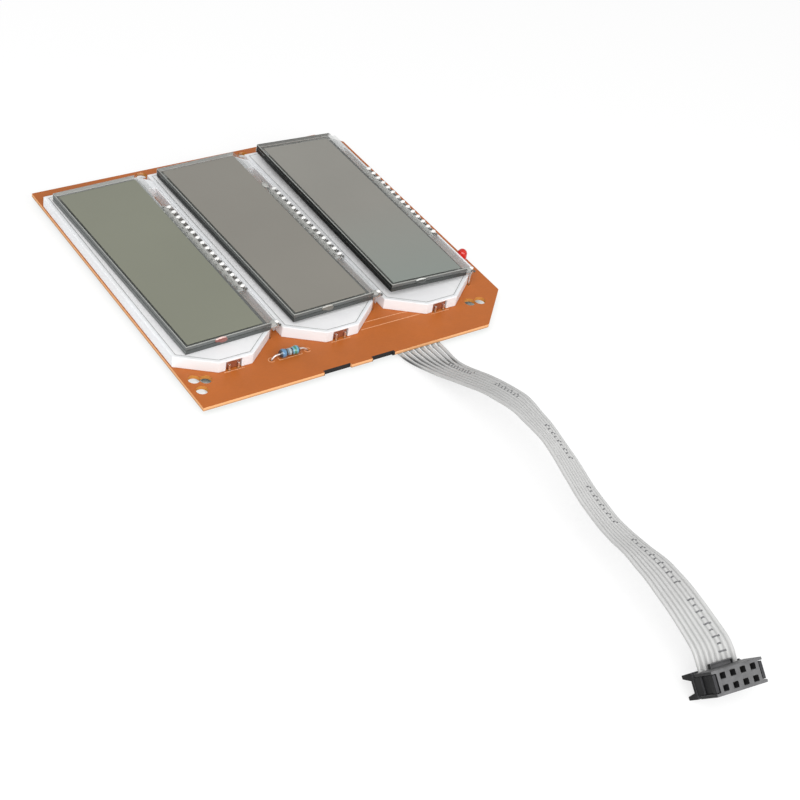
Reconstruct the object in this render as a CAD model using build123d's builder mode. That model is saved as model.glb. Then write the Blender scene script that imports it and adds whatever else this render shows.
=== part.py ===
# Panel of three segment displays on a phenolic board, with a ribbon lead and its socket.
# Millimetres, +Z up. The origin is under the middle of the board, on the surface it rests on.

import math
import os
from typing import NamedTuple

from build123d import *

# Board
board_thickness = 1.0
board_right_margin = 3.7  # beside the last case
board_back_margin = 6.7  # behind the cases
front_corner_cut = 11.6
back_corner_cut = 6.2
lead_tail = 2.0  # how far the leads stand out of the underside
fixing_hole = (2.8, 5.95)
fixing_hole_diameter = 3.0
back_holes = ((31.3, 2.2), (63.3, 2.6))  # from the left edge and the back edge
keyhole_lobe_diameter = 3.0
left_keyhole = ((2.9, 10.2), (5.5, 9.1))
right_keyhole = ((10.7, 9.9), (7.7, 9.4))  # from the right edge and the front edge
edge_notches = ((33.5, 41.2), (47.6, 53.5))  # along the front edge, from and to
edge_notch_depth = 0.4
lead_hole_clearance = 0.15
lead_hole_sides = 6

# Backlight cases
first_case_left = 0.2
case_gap = 0.1
case_height = 3.1
case_floor = 0.8
case_rim = 1.0
case_back_margin = 2.8  # behind the glass
case_front = 10.0
case_left_shoulder = 16.3
case_right_shoulder = 19.3
case_flat = (9.3, 18.6)  # the short front flat, from and to
case_back_corner_cut = 3.0
pin_slot_width = 2.5  # the slot that the pins pass through
pin_slot_inside = 0.35  # from the slot's inner wall to the middle of the pins
pin_slot_back = 6.4  # from the slot's end to the case's back
pin_slot_wall = 0.6
diffuser_thickness = 0.3
sheet_clearance = 0.05
guide_clearance = 0.1
lamp_notch = (11.2, 15.6)
lamp_notch_depth = 2.6
lamp_notch_height = 2.6

# Backlight lamps
lamp_size = (3.8, 1.1, 2.2)
lamp_setback = 0.4  # behind the case's front flat
lamp_lift = 0.2  # above the board
lamp_lens_radius = 1.0
lead_pitch = 2.54
lamp_lead = 0.45
lamp_lead_height = 1.3

# Displays
glass_margin = 2.3  # from the case's left edge to glass that lies straight
glass_front = 15.6
glass_width = 26.3
glass_length = 71.0
glass_ledge = 2.3  # how much narrower the upper glass is
glass_thickness = 1.1
polarizer_thickness = 0.2
polarizer_inset = 0.65
polarizer_right_margin = 1.6
seal_thickness = 0.1
seal_inset = 0.4
seal_width = 0.9
fill_port_x = 9.9
fill_port_width = 2.4
plug_size = (4.0, 1.5)
plug_depth = 0.45
plug_round = 0.3

# Contact pins
pin_pitch = 2.54
pin_sheet = 0.18
clip_width = 0.9
clip_reach = 1.9
clip_lip = 0.15
leg_size = (0.25, 0.5)
leg_setback = 1.05  # from the edge of glass that lies straight
support_pin_y = 1.0  # along the glass

# Solder
solder_height = 1.4
solder_base_radius = 0.95
solder_slope = 20
solder_sides = 8

# Resistor
resistor_start = 25.84
resistor_length = 6.04
resistor_y = 9.35
resistor_axis_height = 1.3
resistor_end_radius = 1.15
resistor_waist_radius = 0.95
resistor_bulb = 1.7
resistor_round = 0.35
resistor_lead_radius = 0.28
resistor_lead_reach = 2.1
resistor_lead_bend = 0.8

# Status lamp
status_lamp_inset = 2.1  # from the board's right edge
status_lamp_y = 26.3
status_lamp_radius = 1.45
status_lamp_height = 3.8
status_lamp_lead = 0.45

# Driver chip, on the underside
chip_place = (44.0, 52.0)
chip_size = 10.0
chip_thickness = 1.4
chip_standoff = 0.1
chip_edge_cut = 0.25
chip_legs_per_side = 11
chip_leg_pitch = 0.8
chip_leg_width = 0.35
chip_leg_sheet = 0.15
chip_leg_reach = 1.0
chip_foot = 0.55
chip_leg_height = 0.75

# Ribbon
wire_count = 8
wire_pitch = 1.27
ribbon_thickness = 0.95
ribbon_x = 62.1
fan_width = 12.5  # over the outer wires at the board's edge
fan_length = 12.0
arc_share = 0.45  # of the shorter run at each bend
pad_pitch = 2.0
pad_row_y = 7.4
insulation_end_y = 5.0
insulation_end_height = -1.55
bare_end_y = 8.6
insulation_radius = 0.445
bare_radius = 0.2
round_wire_sides = 8
pad_solder_size = (1.3, 2.6)
pad_solder_height = 0.75
pad_solder_slope = 25

# Socket on the ribbon's far end
socket_face = (55.33, -124.29, 7.05)  # the middle of its mating face
socket_turn = -7.4
socket_lean = 52.3
socket_width = 12.8
socket_height = 5.3
socket_base_depth = 6.2
socket_contact_pitch = 2.54
socket_contacts_per_row = 4
socket_hole = 1.3
socket_hole_depth = 5.4
contact_sheet = 0.2
contact_width = 0.8
contact_length = 4.6
end_channel_depth = 1.1
end_channel_height = 4.0
arm_thickness = 0.75
arm_clearance = 0.15
arm_setback = 0.15
arm_pocket = (1.6, 4.7)  # behind the mating face, from and to
arm_pocket_depth = 0.45
key_width = 5.8
key_height = 1.1
key_depth = 1.0
key_wall = 0.25
key_setback = 0.3  # in front of the ribbon
cap_wall = 0.85
cap_rise = 0.25
cap_rise_setback = 0.5  # behind the ribbon
prong_length = 3.0
lower_prong_length = 2.6
prong_root = 1.4
prong_tip = 0.8

# Worked out from the sizes above
board_top = lead_tail + board_thickness
upper_glass_width = glass_width - glass_ledge
pin_row_x = glass_margin + glass_width - leg_setback
pin_slot_left = pin_row_x - pin_slot_inside
case_width = pin_slot_left + pin_slot_width + pin_slot_wall
case_pitch = case_width + case_gap
case_back = glass_front + glass_length + case_back_margin
pin_slot_end = case_back - pin_slot_back
lower_glass_base = polarizer_thickness
seal_base = lower_glass_base + glass_thickness
upper_glass_base = seal_base + seal_thickness
front_polarizer_base = upper_glass_base + glass_thickness
case_window_right = pin_slot_left - pin_slot_wall
ribbon_width = wire_count * wire_pitch
thickest_lead = max(math.hypot(lamp_lead, lamp_lead), math.hypot(*leg_size), 2 * resistor_lead_radius)
lead_hole_radius = thickest_lead / 2 + lead_hole_clearance


class Display(NamedTuple):
    """Where one display lies: its glass may sit a little turned, raised and tilted on its pins."""

    name: str
    place: int  # counted from the left
    glass_shift: tuple  # of its front left corner, from where straight glass would have it
    turn: float
    tilt: float
    lift: float  # of the left edge, above the case
    pins: int
    first_pin: float  # along the glass


displays = (
    Display("left", 0, (0.75, 0.0), 1.4, 0.0, 0.0, 16, 17.2),
    Display("middle", 1, (0.4, 0.2), 1.1, 0.0, 0.8, 14, 19.1),
    Display("right", 2, (-1.1, 0.2), -0.6, 2.4, 2.0, 14, 19.1),
)
board_width = first_case_left + len(displays) * case_pitch - case_gap + board_right_margin
board_depth = case_back + board_back_margin


def board_level(height):
    """The plane at a height above the board's top face, measured from the front left corner."""
    return Plane(origin=(-board_width / 2, -board_depth / 2, board_top + height))


def board_point(x, y, height):
    """A point measured as on board_level, in the model's own frame."""
    return Vector(x - board_width / 2, y - board_depth / 2, board_top + height)


def side_plane(x, y, height):
    """An upright plane facing the front, with its own X to the right and Y up."""
    return Plane(origin=board_point(x, y, height), x_dir=(1, 0, 0), z_dir=(0, -1, 0))


def case_left(display):
    return first_case_left + display.place * case_pitch


def glass_plane(display, height=0.0):
    """The plane at a height over the underside of a display's stack, X and Y along the glass."""
    across = Vector(1, 0, 0).rotate(Axis.Y, display.tilt).rotate(Axis.Z, display.turn)
    normal = Vector(0, 0, 1).rotate(Axis.Y, display.tilt).rotate(Axis.Z, display.turn)
    shift_x, shift_y = display.glass_shift
    left = case_left(display) + glass_margin + shift_x
    corner = board_point(left, glass_front + shift_y, case_height + display.lift)
    return Plane(origin=corner + normal * height, x_dir=across, z_dir=normal)


def glass_section(display, y):
    """The upright plane across a display's glass, X across it and Y up through the stack."""
    flat = glass_plane(display)
    return Plane(origin=flat.from_local_coords(Vector(0, y, 0)), x_dir=flat.x_dir, z_dir=-flat.y_dir)


def pin_places(display):
    """How far along the glass each contact pin stands."""
    return [display.first_pin + i * pin_pitch for i in range(display.pins)]


def pin_foot(display, y):
    """Where the pin at y along the glass goes through the board."""
    edge = glass_plane(display).from_local_coords(Vector(glass_width, y, 0))
    return (case_left(display) + pin_row_x, edge.Y + board_depth / 2)


def lamp_feet(display):
    middle = case_left(display) + sum(lamp_notch) / 2
    return [(middle + side * lead_pitch / 2, case_front) for side in (-1, 1)]


def resistor_feet():
    middle = resistor_start + resistor_length / 2
    reach = resistor_length / 2 + resistor_lead_reach
    return [(middle + side * reach, resistor_y) for side in (-1, 1)]


def status_lamp_feet():
    x = board_width - status_lamp_inset
    return [(x, status_lamp_y + side * lead_pitch / 2) for side in (-1, 1)]


def case_shape(display, inset=0.0, right=case_width):
    """The outline of a backlight case seen from above, drawn in by inset and ended at right."""
    left = case_left(display)
    with BuildSketch() as shape:
        with BuildLine():
            Polyline(
                (left, case_left_shoulder),
                (left + case_flat[0], case_front),
                (left + case_flat[1], case_front),
                (left + case_width, case_right_shoulder),
                (left + case_width, case_back - case_back_corner_cut),
                (left + case_width - case_back_corner_cut, case_back),
                (left, case_back),
                close=True,
            )
        make_face()
        if inset > 0:
            offset(amount=-inset)
        if right < case_width:
            with Locations((left, 0)):
                Rectangle(right, 2 * case_back, align=(Align.MIN, Align.CENTER), mode=Mode.INTERSECT)
    return shape.sketch


def socket_plane(depth=0.0):
    """Across the socket at a depth behind its mating face: X along the rows, Y to the ribbon side."""
    across = Vector(1, 0, 0).rotate(Axis.Z, socket_turn)
    lean = math.radians(socket_lean)
    outward = Vector(0, -math.cos(lean), math.sin(lean)).rotate(Axis.Z, socket_turn)
    middle = board_point(*socket_face)
    return Plane(origin=middle - outward * depth, x_dir=across, z_dir=outward)


def socket_end_plane():
    """The plane of the socket's section: X backwards from the mating face, Y to the ribbon side."""
    face = socket_plane()
    return Plane(origin=face.origin, x_dir=-face.z_dir, z_dir=face.x_dir)


# The board's underside seen from below: X from its left edge, Y forwards from its front edge
underside = board_level(-board_thickness).rotated((180, 0, 0))
board_edge = Plane(origin=board_point(0, 0, 0), z_dir=(0, -1, 0))

parts = {}


# Board


def make_board():
    with BuildPart() as board:
        with BuildSketch(board_level(-board_thickness)) as outline:
            Rectangle(board_width, board_depth, align=(Align.MIN, Align.MIN))
            right_corners = outline.vertices().group_by(Axis.X)[-1].sort_by(Axis.Y)
            chamfer(right_corners[0], length=front_corner_cut)
            chamfer(outline.vertices().group_by(Axis.Y)[-1].sort_by(Axis.X)[-1], length=back_corner_cut)
            for start, end in edge_notches:
                with Locations(((start + end) / 2, 0)):
                    Rectangle(end - start, 2 * edge_notch_depth, mode=Mode.SUBTRACT)
            with Locations(fixing_hole, *[(x, board_depth - inset) for x, inset in back_holes]):
                Circle(fixing_hole_diameter / 2, mode=Mode.SUBTRACT)
            with Locations(*left_keyhole, *[(board_width - inset, y) for inset, y in right_keyhole]):
                Circle(keyhole_lobe_diameter / 2, mode=Mode.SUBTRACT)
            for display in displays:
                places = pin_places(display) + [support_pin_y]
                with Locations(*[pin_foot(display, y) for y in places]):
                    RegularPolygon(lead_hole_radius, lead_hole_sides, mode=Mode.SUBTRACT)
                with Locations(*lamp_feet(display)):
                    RegularPolygon(lead_hole_radius, lead_hole_sides, mode=Mode.SUBTRACT)
            with Locations(*status_lamp_feet(), *resistor_feet()):
                RegularPolygon(lead_hole_radius, lead_hole_sides, mode=Mode.SUBTRACT)
        extrude(amount=board_thickness)
    return board.part


# Backlights


def make_backlight_case(display):
    left = case_left(display)
    outline = case_shape(display)
    window = case_shape(display, case_rim, case_window_right)
    with BuildPart() as case:
        with BuildSketch(board_level(0)):
            add(outline)
        extrude(amount=case_height)
        with BuildSketch(board_level(case_floor)):
            add(window)
        extrude(amount=case_height - case_floor, mode=Mode.SUBTRACT)
        with BuildSketch(board_level(0)):
            with Locations((left + pin_slot_left, 0)):
                Rectangle(pin_slot_width, pin_slot_end, align=(Align.MIN, Align.MIN))
        extrude(amount=case_height, mode=Mode.SUBTRACT)
        with BuildSketch(board_level(0)):
            with Locations((left + lamp_notch[0], case_front)):
                Rectangle(lamp_notch[1] - lamp_notch[0], lamp_notch_depth, align=(Align.MIN, Align.MIN))
        extrude(amount=lamp_notch_height, mode=Mode.SUBTRACT)
    return case.part


def make_light_guide(display):
    left = case_left(display)
    window = case_shape(display, case_rim + guide_clearance, case_window_right - guide_clearance)
    with BuildPart() as guide:
        with BuildSketch(board_level(case_floor)):
            add(window)
            with Locations((left + lamp_notch[0], case_front)):
                Rectangle(
                    lamp_notch[1] - lamp_notch[0],
                    lamp_notch_depth + guide_clearance,
                    align=(Align.MIN, Align.MIN),
                    mode=Mode.SUBTRACT,
                )
        extrude(amount=case_height - case_floor - diffuser_thickness)
    return guide.part


def make_diffuser(display):
    window = case_shape(display, case_rim + sheet_clearance, case_window_right - sheet_clearance)
    with BuildPart() as diffuser:
        with BuildSketch(board_level(case_height - diffuser_thickness)):
            add(window)
        extrude(amount=diffuser_thickness)
    return diffuser.part


def make_backlight_lamp(display):
    middle = case_left(display) + sum(lamp_notch) / 2
    width, depth, height = lamp_size
    front = case_front + lamp_setback
    with BuildPart() as lamp:
        with BuildSketch(board_level(lamp_lift)):
            with Locations((middle, front)):
                Rectangle(width, depth, align=(Align.CENTER, Align.MIN))
        extrude(amount=height)
        with Locations(board_point(middle, front + depth, lamp_lift + height / 2)):
            Sphere(lamp_lens_radius)
    return lamp.part


def make_lamp_legs(display):
    with BuildPart() as legs:
        for x, y in lamp_feet(display):
            back = lamp_setback
            with BuildSketch(Plane(origin=board_point(x, y, 0), x_dir=(0, 1, 0), z_dir=(1, 0, 0))):
                with BuildLine():
                    Polyline(
                        (back, lamp_lead_height),
                        (back, lamp_lead_height + lamp_lead),
                        (-lamp_lead / 2, lamp_lead_height + lamp_lead),
                        (-lamp_lead / 2, -board_top),
                        (lamp_lead / 2, -board_top),
                        (lamp_lead / 2, lamp_lead_height),
                        close=True,
                    )
                make_face()
            extrude(amount=lamp_lead / 2, both=True)
    return legs.part


# Displays


def make_plate(display, base, thickness, x_from, x_to, inset=0.0):
    """A flat piece of a display's stack, from x_from to x_to across the glass."""
    with BuildPart() as plate:
        with BuildSketch(glass_plane(display, base)):
            with Locations((x_from, inset)):
                Rectangle(x_to - x_from, glass_length - 2 * inset, align=(Align.MIN, Align.MIN))
        extrude(amount=thickness)
    return plate.part


def make_edge_seal(display):
    width = upper_glass_width - 2 * seal_inset
    length = glass_length - 2 * seal_inset
    with BuildPart() as seal:
        with BuildSketch(glass_plane(display, seal_base)):
            with Locations((seal_inset, seal_inset)):
                Rectangle(width, length, align=(Align.MIN, Align.MIN))
            with Locations((seal_inset + seal_width, seal_inset + seal_width)):
                Rectangle(
                    width - 2 * seal_width,
                    length - 2 * seal_width,
                    align=(Align.MIN, Align.MIN),
                    mode=Mode.SUBTRACT,
                )
            with Locations((fill_port_x, seal_inset)):
                Rectangle(fill_port_width, 2 * seal_width, mode=Mode.SUBTRACT)
        extrude(amount=seal_thickness)
    return seal.part


def make_fill_port_seal(display):
    with BuildPart() as plug:
        with BuildSketch(glass_section(display, 0)):
            with Locations((fill_port_x, seal_base + seal_thickness / 2)):
                SlotOverall(*plug_size)
        extrude(amount=plug_depth)
        front = plug.faces().sort_by(Axis(glass_section(display, 0).origin, glass_section(display, 0).z_dir))[-1]
        chamfer(front.edges(), length=plug_round)
    return plug.part


def make_pins(display, places):
    """Sheet metal clips that grip the glass ledge, each with a leg that goes down through the board."""
    ledge = seal_base
    under = lower_glass_base
    with BuildPart() as pins:
        for y in places:
            section = glass_section(display, y)
            with BuildSketch(section):
                with BuildLine():
                    Polyline(
                        (glass_width - clip_reach, under),
                        (glass_width, under),
                        (glass_width, ledge),
                        (glass_width - clip_reach, ledge),
                        (glass_width - clip_reach - clip_lip, ledge + pin_sheet),
                        (glass_width - clip_reach, ledge + pin_sheet),
                        (glass_width + pin_sheet, ledge + pin_sheet),
                        (glass_width + pin_sheet, under - pin_sheet),
                        (glass_width - clip_reach, under - pin_sheet),
                        close=True,
                    )
                make_face()
            extrude(amount=clip_width / 2, both=True)
            foot_x, foot_y = pin_foot(display, y)
            jaw = section.from_local_coords(Vector(glass_width, under - pin_sheet / 2, 0))
            run_in = jaw.X + board_width / 2 - foot_x
            drop = run_in * math.tan(math.radians(display.tilt))
            with BuildSketch(Plane(origin=board_point(foot_x, foot_y, -board_top))):
                Rectangle(*leg_size)
            extrude(amount=jaw.Z + drop)
    return pins.part


# Solder joints


def make_joints(places, leads):
    """A cone of solder round each lead on the underside, with the leads themselves taken out."""
    with BuildPart() as joints:
        with BuildSketch(underside):
            with Locations(*[(x, -y) for x, y in places]):
                RegularPolygon(solder_base_radius, solder_sides)
        extrude(amount=solder_height, taper=solder_slope)
        for lead in leads:
            add(lead, mode=Mode.SUBTRACT)
    return joints.part


# Resistor


def make_resistor_body():
    ends = resistor_end_radius
    waist = resistor_waist_radius
    with BuildPart() as body:
        with BuildSketch(side_plane(resistor_start, resistor_y, resistor_axis_height)) as profile:
            with BuildLine():
                Polyline(
                    (0, 0),
                    (0, ends),
                    (resistor_bulb, ends),
                    (resistor_bulb + ends - waist, waist),
                    (resistor_length - resistor_bulb - ends + waist, waist),
                    (resistor_length - resistor_bulb, ends),
                    (resistor_length, ends),
                    (resistor_length, 0),
                    close=True,
                )
            make_face()
            chamfer(profile.vertices().group_by(Axis.Y)[-1], length=resistor_round)
        revolve(axis=Axis(side_plane(resistor_start, resistor_y, resistor_axis_height).origin, (1, 0, 0)))
    return body.part


def make_resistor_leads():
    with BuildPart() as leads:
        for side, (foot_x, foot_y) in zip((-1, 1), resistor_feet()):
            start_x = foot_x - side * resistor_lead_reach
            with BuildLine() as path:
                FilletPolyline(
                    board_point(start_x, foot_y, resistor_axis_height),
                    board_point(foot_x, foot_y, resistor_axis_height),
                    board_point(foot_x, foot_y, -board_top),
                    radius=resistor_lead_bend,
                )
            start = Plane(origin=board_point(start_x, foot_y, resistor_axis_height), z_dir=(side, 0, 0))
            with BuildSketch(start):
                RegularPolygon(resistor_lead_radius, round_wire_sides)
            sweep(path=path.wire())
    return leads.part


# Status lamp


def make_status_lamp():
    x = board_width - status_lamp_inset
    y = status_lamp_y
    straight = status_lamp_height - status_lamp_radius
    with BuildPart() as lens:
        with BuildSketch(side_plane(x, y, 0)):
            with BuildLine():
                Polyline((0, status_lamp_height), (0, 0), (status_lamp_radius, 0), (status_lamp_radius, straight))
                RadiusArc((status_lamp_radius, straight), (0, status_lamp_height), -status_lamp_radius)
            make_face()
        revolve(axis=Axis(board_point(x, y, 0), (0, 0, 1)))
    return lens.part


def make_status_lamp_leads():
    with BuildPart() as leads:
        with BuildSketch(board_level(-board_top)):
            with Locations(*status_lamp_feet()):
                Rectangle(status_lamp_lead, status_lamp_lead)
        extrude(amount=board_top)
    return leads.part


# Driver chip


def make_chip_body():
    with BuildPart() as body:
        with BuildSketch(board_level(-board_thickness - chip_standoff - chip_thickness)):
            with Locations(chip_place):
                Rectangle(chip_size, chip_size)
        extrude(amount=chip_thickness)
        chamfer(body.edges().filter_by(Axis.Z), length=chip_edge_cut)
    return body.part


def make_chip_legs():
    out = chip_size / 2
    end = out + chip_leg_reach
    sheet = chip_leg_sheet
    with BuildPart() as one_leg:
        with BuildSketch(Plane.XZ):
            with BuildLine():
                Polyline(
                    (out, -chip_leg_height),
                    (out + sheet + chip_leg_reach - chip_foot, -chip_leg_height),
                    (out + sheet + chip_leg_reach - chip_foot, -sheet),
                    (end, -sheet),
                    (end, 0),
                    (out + chip_leg_reach - chip_foot, 0),
                    (out + chip_leg_reach - chip_foot, -chip_leg_height + sheet),
                    (out, -chip_leg_height + sheet),
                    close=True,
                )
            make_face()
        extrude(amount=chip_leg_width / 2, both=True)
    board_face = board_level(-board_thickness)
    with BuildPart() as legs:
        for quarter in range(4):
            for i in range(chip_legs_per_side):
                along = (i - (chip_legs_per_side - 1) / 2) * chip_leg_pitch
                place = board_face.location * Location(chip_place) * Location((0, 0, 0), (0, 0, 90 * quarter))
                with Locations(place * Location((0, along, 0))):
                    add(one_leg.part)
    return legs.part


# Ribbon

# The route runs in one upright plane, as (distance out from the board's edge, height).
# Its last point is worked out again from where the socket clamps the ribbon.
ribbon_route = (
    (0.0, -1.8),
    (9.5, -1.0),
    (23.0, 5.4),
    (41.0, 11.4),
    (58.0, 9.9),
    (76.0, 6.4),
    (92.0, 9.0),
    (105.0, 8.0),
    (113.4, 6.5),
    (118.3, 3.4),
)


def make_ribbon():
    """The free stretch of the ribbon: straight runs joined by tangent arcs, wider where its wires fan out."""
    exit_point = board_point(ribbon_x, 0, 0)
    clamp_depth = socket_base_depth + ribbon_thickness / 2
    clamp = socket_plane(clamp_depth).from_local_coords(Vector(0, socket_height / 2, 0))
    level = Vector(clamp.X - exit_point.X, clamp.Y - exit_point.Y, 0)
    outward = level.normalized()
    route = list(ribbon_route[:-1]) + [(level.length, clamp.Z - exit_point.Z)]
    runs = [math.dist(a, b) for a, b in zip(route, route[1:])]
    radii = []
    for before, corner, after, short in zip(route, route[1:], route[2:], map(min, runs, runs[1:])):
        turn = (Vector(*corner) - Vector(*before)).get_angle(Vector(*after) - Vector(*corner))
        radii.append(arc_share * short / math.tan(math.radians(turn) / 2))
    print("ribbon radii", [round(radius, 1) for radius in radii])
    run_plane = Plane(origin=exit_point, x_dir=outward, z_dir=outward.cross(Vector(0, 0, 1)))
    with BuildLine(run_plane) as path:
        FilletPolyline(*route, radius=radii)
    length = path.wire().length
    head = Vector(*route[0]) + (Vector(*route[0]) - Vector(*route[1])).normalized() * ribbon_thickness
    tail = Vector(*route[-1]) + (Vector(*route[-1]) - Vector(*route[-2])).normalized() * ribbon_thickness
    with BuildPart() as ribbon:
        with BuildLine(run_plane) as line:
            FilletPolyline((head.X, head.Y), *route[1:-1], (tail.X, tail.Y), radius=radii)
        start = Plane(origin=line.wire() @ 0, x_dir=run_plane.z_dir, z_dir=line.wire() % 0)
        with BuildSketch(start):
            Rectangle(fan_width, ribbon_thickness)
        sweep(path=line.wire())
        reach = level.length + 2 * ribbon_thickness
        with BuildSketch(Plane(origin=(exit_point.X, exit_point.Y, -board_top), x_dir=outward)):
            with BuildLine():
                Polyline(
                    (-ribbon_width, fan_width / 2),
                    (0, fan_width / 2),
                    (fan_length, ribbon_width / 2),
                    (reach, ribbon_width / 2),
                    (reach, -ribbon_width / 2),
                    (fan_length, -ribbon_width / 2),
                    (0, -fan_width / 2),
                    (-ribbon_width, -fan_width / 2),
                    close=True,
                )
            make_face()
        extrude(amount=10 * board_top, mode=Mode.INTERSECT)
        split(bisect_by=Plane(origin=clamp, z_dir=socket_plane().y_dir), keep=Keep.TOP)
        split(bisect_by=board_edge, keep=Keep.TOP)
    print("ribbon length", round(length, 1), "section x length", round(length * ribbon_width * ribbon_thickness, 1))
    print("ribbon volume", round(ribbon.part.volume, 1))
    return ribbon.part


def make_ribbon_end():
    """The stretch that the socket's cap clamps, square to the socket."""
    with BuildPart() as end:
        with BuildSketch(socket_plane(socket_base_depth + ribbon_thickness)):
            Rectangle(ribbon_width, socket_height)
        extrude(amount=ribbon_thickness)
    return end.part


def make_ribbon_wires():
    """The wires under the board, from its edge to their row of solder pads."""
    edge_pitch = (fan_width - ribbon_thickness) / (wire_count - 1)
    with BuildPart() as wires:
        for i in range(wire_count):
            step = i - (wire_count - 1) / 2
            edge = board_point(ribbon_x + step * edge_pitch, 0, ribbon_route[0][1])
            strip = board_point(ribbon_x + step * pad_pitch, insulation_end_y, insulation_end_height)
            outside = edge + (edge - strip).normalized() * insulation_radius
            bare_height = -board_thickness - bare_radius
            end = board_point(ribbon_x + step * pad_pitch, bare_end_y, bare_height)
            for radius, start, stop in ((insulation_radius, outside, strip), (bare_radius, strip, end)):
                with BuildLine() as run:
                    Line(start, stop)
                with BuildSketch(Plane(origin=start, z_dir=stop - start)):
                    RegularPolygon(radius, round_wire_sides)
                sweep(path=run.wire())
        split(bisect_by=board_edge, keep=Keep.BOTTOM)
    return wires.part


def make_pad_joints(wires):
    with BuildPart() as joints:
        with BuildSketch(underside):
            for i in range(wire_count):
                step = i - (wire_count - 1) / 2
                with Locations((ribbon_x + step * pad_pitch, -pad_row_y)):
                    Rectangle(*pad_solder_size)
        extrude(amount=pad_solder_height, taper=pad_solder_slope)
        add(wires, mode=Mode.SUBTRACT)
    return joints.part


# Socket


def make_socket_body():
    rows = GridLocations(socket_contact_pitch, socket_contact_pitch, socket_contacts_per_row, 2)
    side = socket_end_plane()
    key_front = socket_base_depth - key_setback - key_depth
    with BuildPart() as body:
        with BuildSketch(socket_plane(socket_base_depth)):
            Rectangle(socket_width, socket_height)
        extrude(amount=socket_base_depth)
        with BuildSketch(socket_plane(socket_base_depth)):
            with Locations((-socket_width / 2, 0), (socket_width / 2, 0)):
                Rectangle(2 * end_channel_depth, end_channel_height)
        extrude(amount=socket_base_depth, mode=Mode.SUBTRACT)
        with BuildSketch(socket_plane(socket_hole_depth)):
            with rows:
                Rectangle(socket_hole, socket_hole)
        extrude(amount=socket_hole_depth, mode=Mode.SUBTRACT)
        with BuildSketch(side):
            with Locations((key_front, socket_height / 2)):
                Rectangle(key_depth, key_height, align=(Align.MIN, Align.MIN))
        extrude(amount=key_width / 2, both=True)
        with BuildSketch(side):
            with Locations((key_front, socket_height / 2)):
                Rectangle(key_depth - key_wall, key_height - key_wall, align=(Align.MIN, Align.MIN))
        extrude(amount=key_width / 2 - key_wall, both=True, mode=Mode.SUBTRACT)
    return body.part


def make_socket_contacts():
    rows = GridLocations(socket_contact_pitch, socket_contact_pitch, socket_contacts_per_row, 2)
    with BuildPart() as contacts:
        with BuildSketch(socket_plane(socket_hole_depth)):
            with rows:
                with Locations((0, socket_hole / 2)):
                    Rectangle(contact_width, contact_sheet, align=(Align.CENTER, Align.MAX))
        extrude(amount=contact_length)
    return contacts.part


def make_socket_cap():
    """The cap that clamps the ribbon: its arms snap along the ends, its two prongs guide the ribbon."""
    front = socket_base_depth + ribbon_thickness
    back = front + cap_wall
    top = socket_height / 2
    arm_height = end_channel_height - 2 * arm_clearance
    with BuildPart() as cap:
        with BuildSketch(socket_end_plane()):
            with BuildLine():
                Polyline(
                    (front, -top),
                    (front, top),
                    (front + cap_rise_setback, top),
                    (front + cap_rise_setback, top + cap_rise),
                    (back, top + cap_rise),
                    (back + prong_length, top),
                    (back + prong_length, top - prong_tip),
                    (back, top - prong_root),
                    (back, -top + prong_root),
                    (back + lower_prong_length, -top + prong_tip),
                    (back + lower_prong_length, -top),
                    close=True,
                )
            make_face()
        extrude(amount=socket_width / 2, both=True)
        for end in (-1, 1):
            outer = end * (socket_width / 2 - arm_clearance)
            with BuildSketch(socket_plane(front)):
                with Locations((outer - end * arm_thickness / 2, 0)):
                    Rectangle(arm_thickness, arm_height)
            extrude(amount=front - arm_setback)
            with BuildSketch(socket_plane(arm_pocket[1])):
                with Locations((outer, 0)):
                    Rectangle(2 * arm_pocket_depth, arm_height)
            extrude(amount=arm_pocket[1] - arm_pocket[0], mode=Mode.SUBTRACT)
    return cap.part


# Every piece by its node name

parts["circuit_board"] = make_board()
for display in displays:
    side = display.name
    pins = make_pins(display, pin_places(display))
    support = make_pins(display, [support_pin_y])
    lamp_legs = make_lamp_legs(display)
    polarizer_right = upper_glass_width - polarizer_right_margin
    parts[f"{side}_backlight_case"] = make_backlight_case(display)
    parts[f"{side}_light_guide"] = make_light_guide(display)
    parts[f"{side}_diffuser_sheet"] = make_diffuser(display)
    parts[f"{side}_backlight_lamp"] = make_backlight_lamp(display)
    parts[f"{side}_backlight_lamp_legs"] = lamp_legs
    parts[f"{side}_rear_polarizer"] = make_plate(
        display, 0, polarizer_thickness, polarizer_inset, polarizer_right, polarizer_inset
    )
    parts[f"{side}_lower_glass"] = make_plate(display, lower_glass_base, glass_thickness, 0, glass_width)
    parts[f"{side}_edge_seal"] = make_edge_seal(display)
    parts[f"{side}_upper_glass"] = make_plate(
        display, upper_glass_base, glass_thickness, 0, upper_glass_width
    )
    parts[f"{side}_front_polarizer"] = make_plate(
        display, front_polarizer_base, polarizer_thickness, polarizer_inset, polarizer_right, polarizer_inset
    )
    parts[f"{side}_fill_port_seal"] = make_fill_port_seal(display)
    parts[f"{side}_contact_pins"] = pins
    parts[f"{side}_support_pin"] = support
    feet = [pin_foot(display, y) for y in pin_places(display) + [support_pin_y]]
    parts[f"{side}_pin_solder"] = make_joints(feet, [pins, support])

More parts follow.
